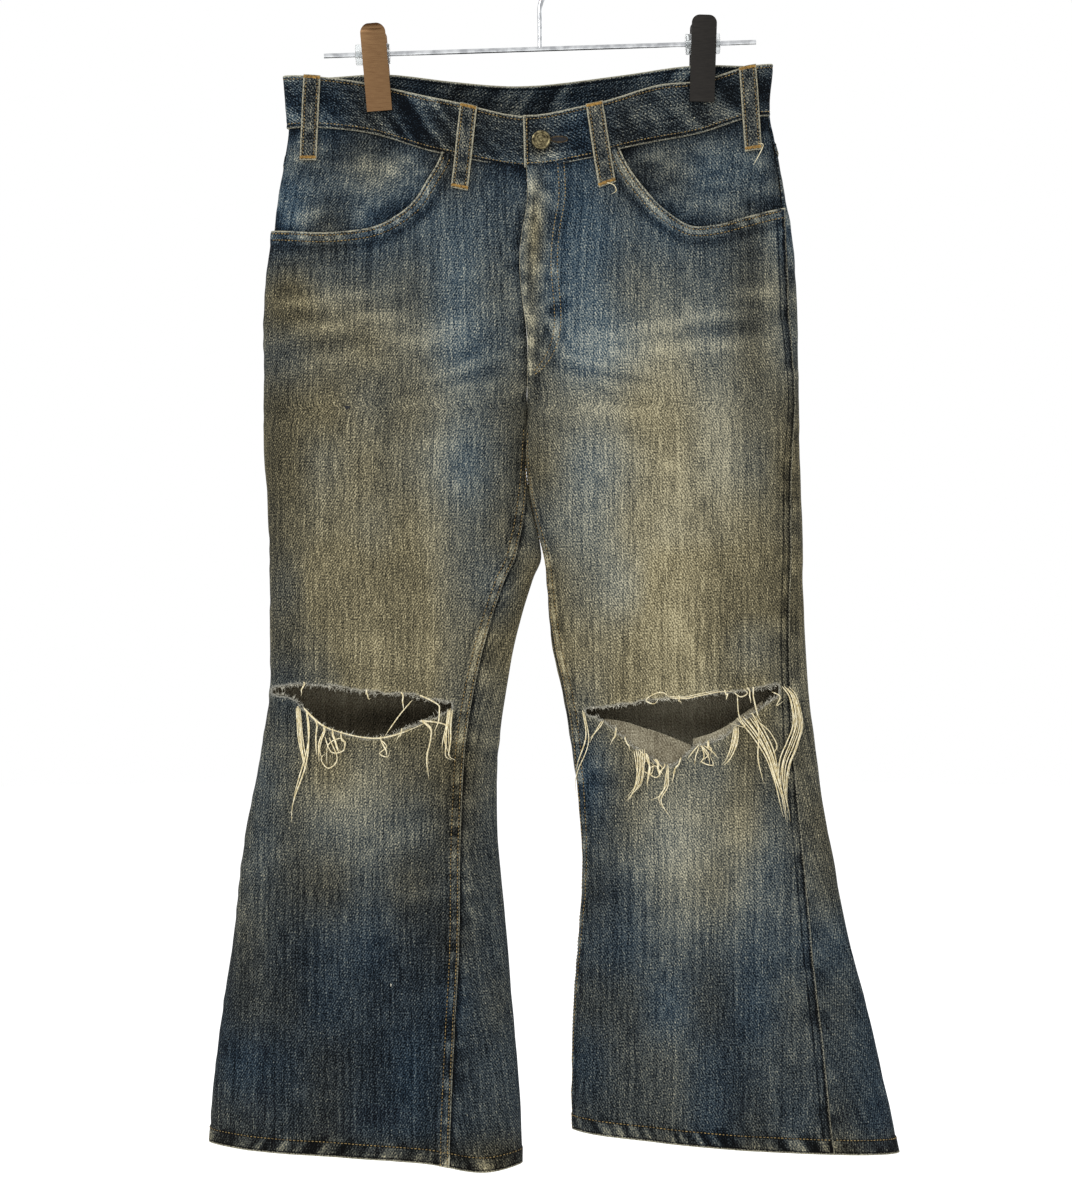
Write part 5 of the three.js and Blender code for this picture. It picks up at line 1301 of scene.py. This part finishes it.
SCOOP_ROWS = {"right": (2.6, 8.2), "left": (-2.6, -8.2)}
SCOOP_TOP, SCOOP_END = {"right": -196, "left": -190}, 238
LOOP_ROW, LOOP_TACKS = 4.7, (2.0, LOOP_LENGTH - 2.4)
for side in ("right", "left"):
    path = smooth_path(SCOOP[side], 4)
    path = path[(path[:, 1] < SCOOP_TOP[side]) & (np.abs(path[:, 0]) < SCOOP_END)]
    rows += [lay_line("front_" + side, beside(path, distance)) for distance in SCOOP_ROWS[side]]
    pocket, middle = "back_pocket_" + side, POCKET_MIDDLE[side]
    for inset in SEAM_ROWS:
        half, low, corner = POCKET_HALF - inset, POCKET_TIP + 1.02 * inset, POCKET_SIDE + 0.3 * inset
        corners = [(-half, POCKET_TOP - 1), (-half + POCKET_TAPER, corner), (0, low),
                   (half - POCKET_TAPER, corner), (half, POCKET_TOP - 1)]
        rows.append(lay_line(pocket, [(middle + x, z) for x, z in corners], "back"))
    rows.append(lay_line(pocket, [(middle + x, POCKET_TOP - 12) for x in (-68, 68)], "back"))

for number in range(1, len(LOOPS) + 1):
    loop = shaped["belt_loop_%d" % number]
    rows += [read_along(loop, loop["across"], x) for x in (-LOOP_ROW, LOOP_ROW)]
    tacks += [read_along(*turned(loop, "down"), distance) for distance in LOOP_TACKS]

points, faces = grains([line for line in rows if len(line) > 2], STITCH_PITCH, *STITCH)
pieces["stitching"] = make_mesh("stitching", points, faces, [khaki_thread])
print("stitches:", len(points) // GRAIN_POINTS)
points, faces = grains(tacks, 1.0, 3.4, 0.95, 0.6, turn=90)
pieces["bar_tacks"] = make_mesh("bar_tacks", points, faces, [gold_thread])
print("tack stitches:", len(points) // GRAIN_POINTS)

# %% Buttonhole
HOLE, HOLE_LONG, HOLE_TALL, NO_EDGE = (16.5, -183.5), 7.2, 2.3, 50.0
turn = np.linspace(0, 2 * math.pi, 40)
rim = joined(HOLE[0] + HOLE_LONG * np.cos(turn), HOLE[1] + HOLE_TALL * np.sin(turn))
points, faces = grains([lay_line("waistband", rim, step=1.2)], 0.9, 2.4, 0.9, 0.6, turn=90)
pieces["buttonhole_thread"] = make_mesh("buttonhole_thread", points, faces, [dark_thread])
# The slit is a dark sheet laid on the waistband: painted shadow in the buttonhole's opening.
u, v = np.meshgrid(np.linspace(-1, 1, 15), np.linspace(-1, 1, 7))
tall = 0.8 * HOLE_TALL * v * np.sqrt(1 - 0.98 * u**2)
slit = lay("waistband", HOLE[0] + 0.92 * HOLE_LONG * u, HOLE[1] + tall)[0]
slit[..., 1] -= 0.12
pieces["buttonhole_slit"] = small_cloth("buttonhole_slit", slit, -1, 0.3, 0.1, NO_EDGE, joined(u, v),
                                        [painted_hole_shadow])
print("buttonhole:", len(points) // GRAIN_POINTS, "stitches")

# %% [markdown]
# ## Torn edges
#
# Where the cloth tore, the blue warp threads broke short and stand up as a grey fuzz. The undyed weft yarns
# came loose, so they hang from the edges as cream strands, single ones and bundles, some curled.

# %% Tubes of yarn
def tube(path, radius, sides=5):
    """A tapered tube along a path, as points and faces."""
    path = np.asarray(path, float)
    n = len(path)
    way = np.gradient(path, axis=0)
    way /= np.maximum(np.linalg.norm(way, axis=1, keepdims=True), 1e-9)
    side = np.cross(way, (0.13, 1.0, 0.07))
    side /= np.maximum(np.linalg.norm(side, axis=1, keepdims=True), 1e-9)
    up = np.cross(side, way)
    angle = np.linspace(0, 2 * math.pi, sides, endpoint=False)
    t = np.linspace(0, 1, n)
    thin = radius * np.clip(np.minimum(0.5 + 6 * t, 0.12 + 3 * (1 - t)), 0, 1)
    ring = side[:, None] * np.cos(angle)[None, :, None] + up[:, None] * np.sin(angle)[None, :, None]
    points = (path[:, None] + ring * thin[:, None, None]).reshape(-1, 3)
    faces = [[j + k, j + (k + 1) % sides, j + sides + (k + 1) % sides, j + sides + k]
             for j in range(0, (n - 1) * sides, sides) for k in range(sides)]
    faces += [list(range(sides))[::-1], list(range((n - 1) * sides, n * sides))]
    return points, faces


def join_tubes(tubes):
    points, faces, start = [], [], 0
    for part, part_faces in tubes:
        points.append(part)
        faces += [[v + start for v in face] for face in part_faces]
        start += len(part)
    return np.vstack(points), faces


STRAND_CLEAR = {"bottom": 2.7, "top": 5.8}
THREADS = {
    # x of the root, length, sideways drift, number of yarns in the bundle
    ("right", "top"): [(-90, 36, 1, 1), (-120, 14, 4, 1), (-205, 10, -2, 1), (-150, 7, 2, 1)],
    ("right", "bottom"): [
        (-203, 96, -9, 2), (-196, 32, 5, 1), (-188, 30, -4, 2), (-180, 22, 6, 2), (-172, 12, 3, 1),
        (-138, 16, 5, 1), (-120, 8, -3, 1), (-98, 50, 3, 2), (-84, 30, 5, 1),
    ],
    ("left", "top"): [(160, 7, 2, 1), (180, 12, 5, 1), (120, 5, 3, 1), (185, 30, 5, 1)],
    ("left", "bottom"): [
        (92, 30, 3, 2), (100, 14, 6, 2), (108, 10, -5, 1), (122, 22, -10, 1), (146, 10, 2, 2), (74, 9, 3, 1),
        (66, 12, -3, 1), (184, 60, 12, 1),
    ],
}
BUNDLES = [
    # knee, edge, yarns, spread at the root, halfway and at the tip, corners in x and z
    ("left", "bottom", 7, 19, 7, 4,
     [(179, -686), (190, -701), (199, -718), (204, -735), (210, -757), (213.5, -773)]),
    ("left", "top", 7, 7, 12, 4,
     [(214, -660), (221, -670), (225, -692), (220, -709), (213, -727), (212, -748), (216, -776)]),
    ("left", "bottom", 6, 11, 6, 2, [(86, -714), (87, -727), (84.7, -744), (75, -759.5)]),
    ("left", "bottom", 5, 5, 6, 4, [(170, -694), (168.5, -709), (162.5, -722), (157, -727.5)]),
    ("left", "bottom", 2, 2, 3, 3, [(111, -727), (110, -744), (104, -757), (114, -772.5)]),
    ("left", "bottom", 1, 0, 0, 0, [(111, -727), (105, -752), (91, -759.5)]),
    ("left", "bottom", 2, 3, 4, 2, [(38, -681), (41, -705), (33, -731), (32, -748), (35.4, -759.5)]),
    ("left", "bottom", 2, 2, 3, 3, [(55, -689.5), (48, -700), (41, -709.4)]),
    ("left", "top", 1, 0, 0, 0, [(171, -666), (173, -686), (177, -694), (168, -692), (157, -688)]),
    ("right", "top", 5, 5, 6, 6, [(-78, -679), (-80.5, -700), (-81, -718), (-74, -723)]),
    ("right", "bottom", 3, 2, 3, 2,
     [(-206, -678), (-189, -693), (-167, -700.5), (-145, -704), (-128, -702), (-111.5, -696), (-92, -687)]),
    ("left", "top", 2, 1, 2, 1, [(112, -668), (126, -668.5), (137, -666), (153, -663), (172, -662)]),
    ("right", "bottom", 4, 4, 5, 4, [(-211, -676), (-207.6, -705), (-204, -735)]),
]
YARN, FUZZ, FIBRES = 0.48, 0.2, 420  # two radii, and the number of fibres along each torn edge


def tear_edge(side, edge, x):
    z = float(read(RIP[side], "x", x, edge))
    return np.array([x, float(leg_face(side, np.array(x), np.array(z))) + DENIM / 2, z])


def hanging(side, edge, x, length, drift, number, yarn):
    """A strand that comes over the torn edge and hangs in front of the cloth, waving a little."""
    random = np.random.default_rng(1000 + 50 * number + yarn)
    ends = RIP[side]["x"][[1, -2]]
    root = tear_edge(side, edge, float(np.clip(x, ends[0] + 1, ends[1] - 7)))
    clear = STRAND_CLEAR[edge]
    path = [root, root + (0, -clear - 0.4, 1.6)]
    reach = length * (1 if yarn == 0 else random.uniform(0.55, 1.0))
    sway, phase = random.uniform(1.2, 3.0), random.uniform(0, 6)
    steps = max(4, int(reach / 7))
    for u in np.linspace(0.12, 1, steps):
        px = x + drift * u * reach / length + 1.6 * math.sin(5 * u + number) * (reach / 40 + 0.4)
        px += yarn * 0.9 * (1 - 0.5 * u) + sway * (math.sin(9 * u + phase) - math.sin(phase)) * 0.5 * u
        pz = root[2] - reach * u + (1.5 * math.sin(11 * u + phase) if length < 40 else 0)
        py = float(leg_face(side, np.array(px), np.array(pz))) - clear - 0.6 * math.sin(3 * u + number)
        path.append(np.array([px, py + 0.7 * math.sin(6 * u + phase) * u, pz]))
    return smooth_path(np.array(path), 1.6)


CURLS = [
    # knee, edge, corners in x and z: yarns that curl back on themselves
    ("right", "bottom", [(-187, -702), (-181, -716), (-170, -714), (-172, -704), (-184, -710), (-185, -729)]),
    ("right", "bottom", [(-183, -703), (-176, -722), (-184, -730), (-190, -722), (-184, -715)]),
    ("right", "bottom", [(-139, -704), (-133, -711), (-139, -717), (-132, -720), (-130, -714)]),
    ("right", "top", [(-111, -671), (-122, -684), (-136, -704)]),
    ("left", "bottom", [(86, -714), (92, -722), (88, -730), (96, -735), (98, -727), (92, -724)]),
    ("left", "bottom", [(98, -722), (106, -730), (101, -738), (94, -733), (100, -728), (108, -737)]),
    ("left", "bottom", [(138, -709), (132, -716), (128, -722)]),
    ("left", "bottom", [(140, -710), (142, -720), (138, -726)]),
    ("left", "bottom", [(142, -710), (150, -716), (154, -721)]),
    ("left", "bottom", [(139, -710), (146, -720), (147, -727)]),
    ("left", "bottom", [(138, -711), (135, -719), (134, -727)]),
    ("left", "bottom", [(140, -710), (146, -718), (140, -724), (150, -727), (146, -716)]),
    ("left", "top", [(112, -668), (106, -664), (98, -666), (92, -671), (99, -674), (104, -668)]),
    ("left", "top", [(168, -664), (174, -668), (180, -665), (176, -660)]),
    ("left", "top", [(202, -664), (209, -668), (206, -676), (212, -672)]),
    ("left", "bottom", [(190, -690), (200, -699), (206, -712), (199, -722), (206, -736)]),
]


def bundle(side, count, spreads, corners, seed):
    """Yarns that hang side by side, drawn together or apart on the way down."""
    random = np.random.default_rng(seed)
    middle = smooth_path(corners, 2.0)
    u = np.linspace(0, 1, len(middle))
    spread = np.interp(u, [0, 0.5, 1], spreads)
    made = []
    for k in range(count):
        t = (k - (count - 1) / 2) / max(count / 2, 1)
        last = max(6, int(len(middle) * (1 if k % 3 == 1 else random.uniform(0.72, 1.0))))
        phase, sway = random.uniform(0, 6), random.uniform(0.6, 1.9)
        x = middle[:, 0] + t * spread / 2 + sway * np.sin(7 * u + phase) * u
        z = middle[:, 1] + random.uniform(-1, 1)
        y = leg_face(side, x, z) - 2.2 - 0.7 * (k % 3) - 0.8 * np.sin(math.pi * u)
        y[:2] += (2.6, 1.0)
        made.append(tube(joined(x, y, z)[:last], YARN * random.uniform(0.85, 1.25)))
    return made


def fibres(side, edge, count, seed):
    """Short fibres that stand up from a torn edge."""
    random = np.random.default_rng(seed)
    made = []
    for x in random.uniform(RIP[side]["x"][0] + 3, RIP[side]["x"][-1] - 3, count):
        root = tear_edge(side, edge, float(x))
        root[2] += random.uniform(-0.6, 1.6) * (1 if edge == "top" else -1)
        root[1] += random.uniform(-1.2, 0.5)
        into = -1 if edge == "top" else 1
        way = np.array([random.normal(0, 0.8), random.uniform(-0.9, 0.2), into * random.uniform(0.2, 1.1)])
        way *= random.uniform(1.4, 4.2) / np.linalg.norm(way)
        bend = random.normal(0, 0.8, 3)
        path = [root + way * t + bend * t * t for t in np.linspace(0, 1, 4)]
        made.append(tube(path, FUZZ * random.uniform(0.7, 1.3), 3))
    return made


for (side, edge), threads in THREADS.items():
    yarns = []
    for number, (x, length, drift, count) in enumerate(threads):
        for yarn in range(count):
            yarns.append(tube(hanging(side, edge, x, length, drift, number, yarn), YARN * (1.25 - 0.1 * yarn)))
    for number, (knee, bundle_edge, count, *spreads, corners) in enumerate(BUNDLES):
        if (knee, bundle_edge) == (side, edge):
            yarns += bundle(side, count, spreads, corners, 300 + number)
    for knee, curl_edge, corners in CURLS:
        if (knee, curl_edge) == (side, edge):
            x, z = smooth_path(corners, 1.5).T
            depth = leg_face(side, x, z) - 2.0 - 0.8 * np.sin(np.arange(len(x)) * 0.5)
            depth[0] += 2.5
            yarns.append(tube(joined(x, depth, z), YARN))
    name = "fray_%s_%s" % (side, edge)
    pieces[name] = make_mesh(name + "_yarn", *join_tubes(yarns), [cream_yarn])
    fuzz = fibres(side, edge, FIBRES, 7 + len(pieces))
    pieces[name + "_fuzz"] = make_mesh(name + "_fuzz", *join_tubes(fuzz), [grey_fuzz])
print("yarn and fuzz triangles:", sum(2 * len(pieces[n].data.polygons) for n in pieces if n.startswith("fray")))

# %% Loose ends of thread on the waist
LOOSE, LOOSE_CLEAR, LOOSE_YARN = [
    [(190.5, -184), (195.5, -186), (187, -203)],
    [(58, -222), (64, -224), (66, -229), (62, -232)],
], 4.5, 0.35
ends = []
for corners in LOOSE:
    x, z = smooth_path(corners, 1.2).T
    ends.append(tube(joined(x, hip_surface("front", x, z + 30)[..., 1] - LOOSE_CLEAR, z), LOOSE_YARN))
pieces["loose_ends"] = make_mesh("loose_ends", *join_tubes(ends), [cream_yarn])

# %% [markdown]
# ## Button, clips and hanger
#
# The button is stamped brass with a raised rim, a ring and a dot. Each clip is two sprung metal plates that
# hang from a clear plastic hub on the bar. The bar and the hook are one chrome wire.

# %% Hard pieces
HARD_SHARP = math.radians(40)


def start_piece():
    if bpy.context.object and bpy.context.object.mode != "OBJECT":
        bpy.ops.object.mode_set(mode="OBJECT")
    bpy.ops.object.select_all(action="DESELECT")


def finish_piece(name, parts, material, bevel=0.0, place=None):
    """Joins parts, rounds their edges, sets their place in the mesh and gives them a material."""
    start_piece()
    for part in parts:
        part.select_set(True)
    bpy.context.view_layer.objects.active = parts[0]
    bpy.ops.object.transform_apply(location=True, rotation=True, scale=True)
    if len(parts) > 1:
        bpy.ops.object.join()
    made = bpy.context.object
    made.name = made.data.name = name
    if bevel:
        rounded = made.modifiers.new("rounded edges", "BEVEL")
        rounded.width, rounded.segments, rounded.limit_method = bevel * MM, 3, "ANGLE"
        bpy.ops.object.modifier_apply(modifier=rounded.name)
    if place is not None:
        made.data.transform(place)
    made.data.shade_smooth()
    made.data.set_sharp_from_angle(angle=HARD_SHARP)
    made.data.materials.clear()
    made.data.materials.append(material)
    return made


BUTTON_X, BUTTON_Z, BUTTON_SEAT = 0.9, -144, 1.2
seat = hip_surface("front", np.array(BUTTON_X), np.array(float(BUTTON_Z)))
to_front = (Matrix.Translation(Vector(seat) * MM + Vector((0, -BUTTON_SEAT * MM, 0)))
            @ Matrix.Rotation(math.radians(90), 4, "X"))
start_piece()
bpy.ops.mesh.primitive_cylinder_add(vertices=64, radius=8.3 * MM, depth=1.6 * MM, location=(0, 0, 0.8 * MM))
disc = bpy.context.object
bpy.ops.mesh.primitive_torus_add(major_radius=7.1 * MM, minor_radius=1.2 * MM, location=(0, 0, 1.7 * MM),
                                 major_segments=64, minor_segments=14)
rim_ring = bpy.context.object
bpy.ops.mesh.primitive_torus_add(major_radius=4.3 * MM, minor_radius=0.45 * MM, location=(0, 0, 1.7 * MM),
                                 major_segments=48, minor_segments=10)
inner_ring = bpy.context.object
bpy.ops.mesh.primitive_uv_sphere_add(radius=1.9 * MM, location=(0, 0, 1.5 * MM), segments=24, ring_count=12)
dot = bpy.context.object
pieces["button"] = finish_piece("button_brass_cap", [disc, rim_ring, inner_ring, dot], button_brass, 0.3,
                                to_front)
print("button at", np.round(seat, 1))

# %% Clips and their hubs
bronze = plain("brushed bronze plate", ("#6a4d31", "#7d6040"), 0.75, 0.42, (9, 9, 0.7), (0.25, 0.75), 0.15)
dark_metal = plain("brushed dark plate", ("#1d1b19", "#2b2825"), 0.75, 0.4, (9, 9, 0.7), (0.25, 0.75), 0.15)
clear_plastic = plain("clear plastic of the hubs", ("#dfe5e6", "#f4f7f7"), 0, 0.12, (20, 20, 20))
tree = clear_plastic.node_tree
give(tree, tree.nodes["Principled BSDF"], {"Transmission Weight": 0.85, "IOR": 1.46})
chrome = plain("bright chrome wire", ("#a9abae", "#d4d6d8"), 1, 0.16, (6, 6, 6))

CLIP_WIDTH, CLIP_LENGTH, CLIP_THICK, CLIP_ROUND = 22, 75, 1.6, 7
CLIPS = [
    # side, x, foot, tilt, hub's x, metal
    ("right", -140.8, -154.6, -4.7, -147, bronze), ("left", 142.1, -146.6, 1.4, 143, dark_metal),
]
JAWS = [("front", -4.3, 5.8), ("back", 5.3 + CLIP_THICK, -4.7)]
BAR_HALF, BAR_MIDDLE, BAR_SLOPE, ROD = 190, -99.3, 0.032, 2.2


def plate(name, place, metal):
    start_piece()
    bpy.ops.mesh.primitive_cube_add(size=1, location=(0, CLIP_LENGTH / 2 * MM, CLIP_THICK / 2 * MM),
                                    scale=(CLIP_WIDTH * MM, CLIP_LENGTH * MM, CLIP_THICK * MM))
    made = bpy.context.object
    bpy.ops.object.transform_apply(location=True, rotation=True, scale=True)
    for part in (made.data.polygons, made.data.vertices, made.data.edges):
        part.foreach_set("select", [False] * len(part))
    for edge in made.data.edges:
        a, b = (made.data.vertices[v].co for v in edge.vertices)
        edge.select = a.y > 0.9 * CLIP_LENGTH * MM and b.y > 0.9 * CLIP_LENGTH * MM and abs(a.x - b.x) < 1e-6
    bpy.ops.object.mode_set(mode="EDIT")
    bpy.ops.mesh.select_mode(type="EDGE")
    bpy.ops.mesh.bevel(offset=CLIP_ROUND * MM, segments=10)
    bpy.ops.object.mode_set(mode="OBJECT")
    return finish_piece(name, [made], metal, 0.35, place)


for side, x, foot, tilt, hub_x, metal in CLIPS:
    for face_name, y, lean in JAWS:
        place = (Matrix.Translation(Vector((x, y, foot)) * MM) @ Matrix.Rotation(math.radians(tilt), 4, "Y")
                 @ Matrix.Rotation(math.radians(90 + lean), 4, "X"))
        name = "clip_%s_%s" % (side, face_name)
        pieces[name] = plate(name + "_plate", place, metal)
    start_piece()
    bpy.ops.mesh.primitive_cylinder_add(vertices=64, radius=9 * MM, depth=30 * MM, end_fill_type="NOTHING")
    sleeve = bpy.context.object
    wall = sleeve.modifiers.new("wall", "SOLIDIFY")
    wall.thickness, wall.offset = 6.5 * MM, -1
    bpy.ops.object.modifier_apply(modifier=wall.name)
    place = (Matrix.Translation(Vector((hub_x, 0, BAR_MIDDLE + BAR_SLOPE * hub_x)) * MM)
             @ Matrix.Rotation(math.radians(90) - math.atan(BAR_SLOPE), 4, "Y"))
    pieces["clip_%s_hub" % side] = finish_piece("clip_%s_sleeve" % side, [sleeve], clear_plastic, 1.0, place)
print("clips:", [n for n in pieces if n.startswith("clip")])

# %% Hanger
HOOK_RADIUS = 20
bend = np.radians((200, 175, 150, 120, 90, 60, 30, 0, -28))
hook = joined(np.cos(bend), np.sin(bend)) * (HOOK_RADIUS + ROD) - (0, HOOK_RADIUS)
hook = np.vstack([hook, [(13, -42), (4, -52), (0, -62), (0, -80), (0, BAR_MIDDLE + 0.4)]])
path = smooth_path(hook, 1.5)
curve = bpy.data.curves.new("hook_wire", "CURVE")
curve.dimensions, curve.bevel_depth, curve.bevel_resolution, curve.use_fill_caps = "3D", ROD * MM, 8, True
wire = curve.splines.new("POLY")
wire.points.add(len(path) - 1)
for point, (x, z) in zip(wire.points, path):
    point.co = (x * MM, 0, z * MM, 1)
hook_wire = bpy.data.objects.new("hook_wire", curve)
bpy.context.scene.collection.objects.link(hook_wire)
start_piece()
hook_wire.select_set(True)
bpy.context.view_layer.objects.active = hook_wire
bpy.ops.object.convert(target="MESH")
hook_wire = bpy.context.object
start_piece()
bar_length = 2 * BAR_HALF * math.hypot(1, BAR_SLOPE)
bpy.ops.mesh.primitive_cylinder_add(vertices=40, radius=ROD * MM, depth=bar_length * MM,
                                    location=(0, 0, BAR_MIDDLE * MM),
                                    rotation=(0, math.radians(90) - math.atan(BAR_SLOPE), 0))
pieces["hanger"] = finish_piece("hanger_wire", [hook_wire, bpy.context.object], chrome)
print("hanger box:", [round(v, 3) for v in pieces["hanger"].dimensions])

# %% A small hole on the right thigh, drawn as a dark sheet of painted shadow, and a pale fleck below the knee
u, t = np.linspace(0, 1, 5), np.linspace(0, 1, 13)[:, None] * 2 * math.pi
for name, x, z, half, tall, material in (
        ("thigh_hole", -166.5, -417.5, 2.6, 1.5, painted_hole_shadow), ("calf_fleck", -129, -917, 0.5, 1.2, grey_fuzz)):
    ragged = u * (1 + 0.25 * np.sin(3 * t + 1) * u)
    points = lay("front_right", x + half * np.cos(t) * ragged, z + tall * np.sin(t) * ragged)[0]
    points[..., 1] -= 0.3
    pieces[name] = small_cloth(name, points, -1, 0.2, 0.3, NO_EDGE, points[..., (0, 2)], [material])
print("hole and fleck:", [round(max(pieces[n].dimensions), 4) for n in ("thigh_hole", "calf_fleck")])

# %% [markdown]
# ## Fastening the pieces to the frame
#
# Every piece rides on the frame's root. Where the solids hold a part of the same name, that part is hidden.

# %% Fastening the pieces to the frame
for name, made in pieces.items():
    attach(made, "root")
    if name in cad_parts:
        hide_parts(name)

# %% Sizes
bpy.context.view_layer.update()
counts = {name: sum(len(p.vertices) - 2 for p in made.data.polygons) for name, made in pieces.items()}
print("triangles:", sum(counts.values()), "most:", max(counts, key=counts.get), max(counts.values()))
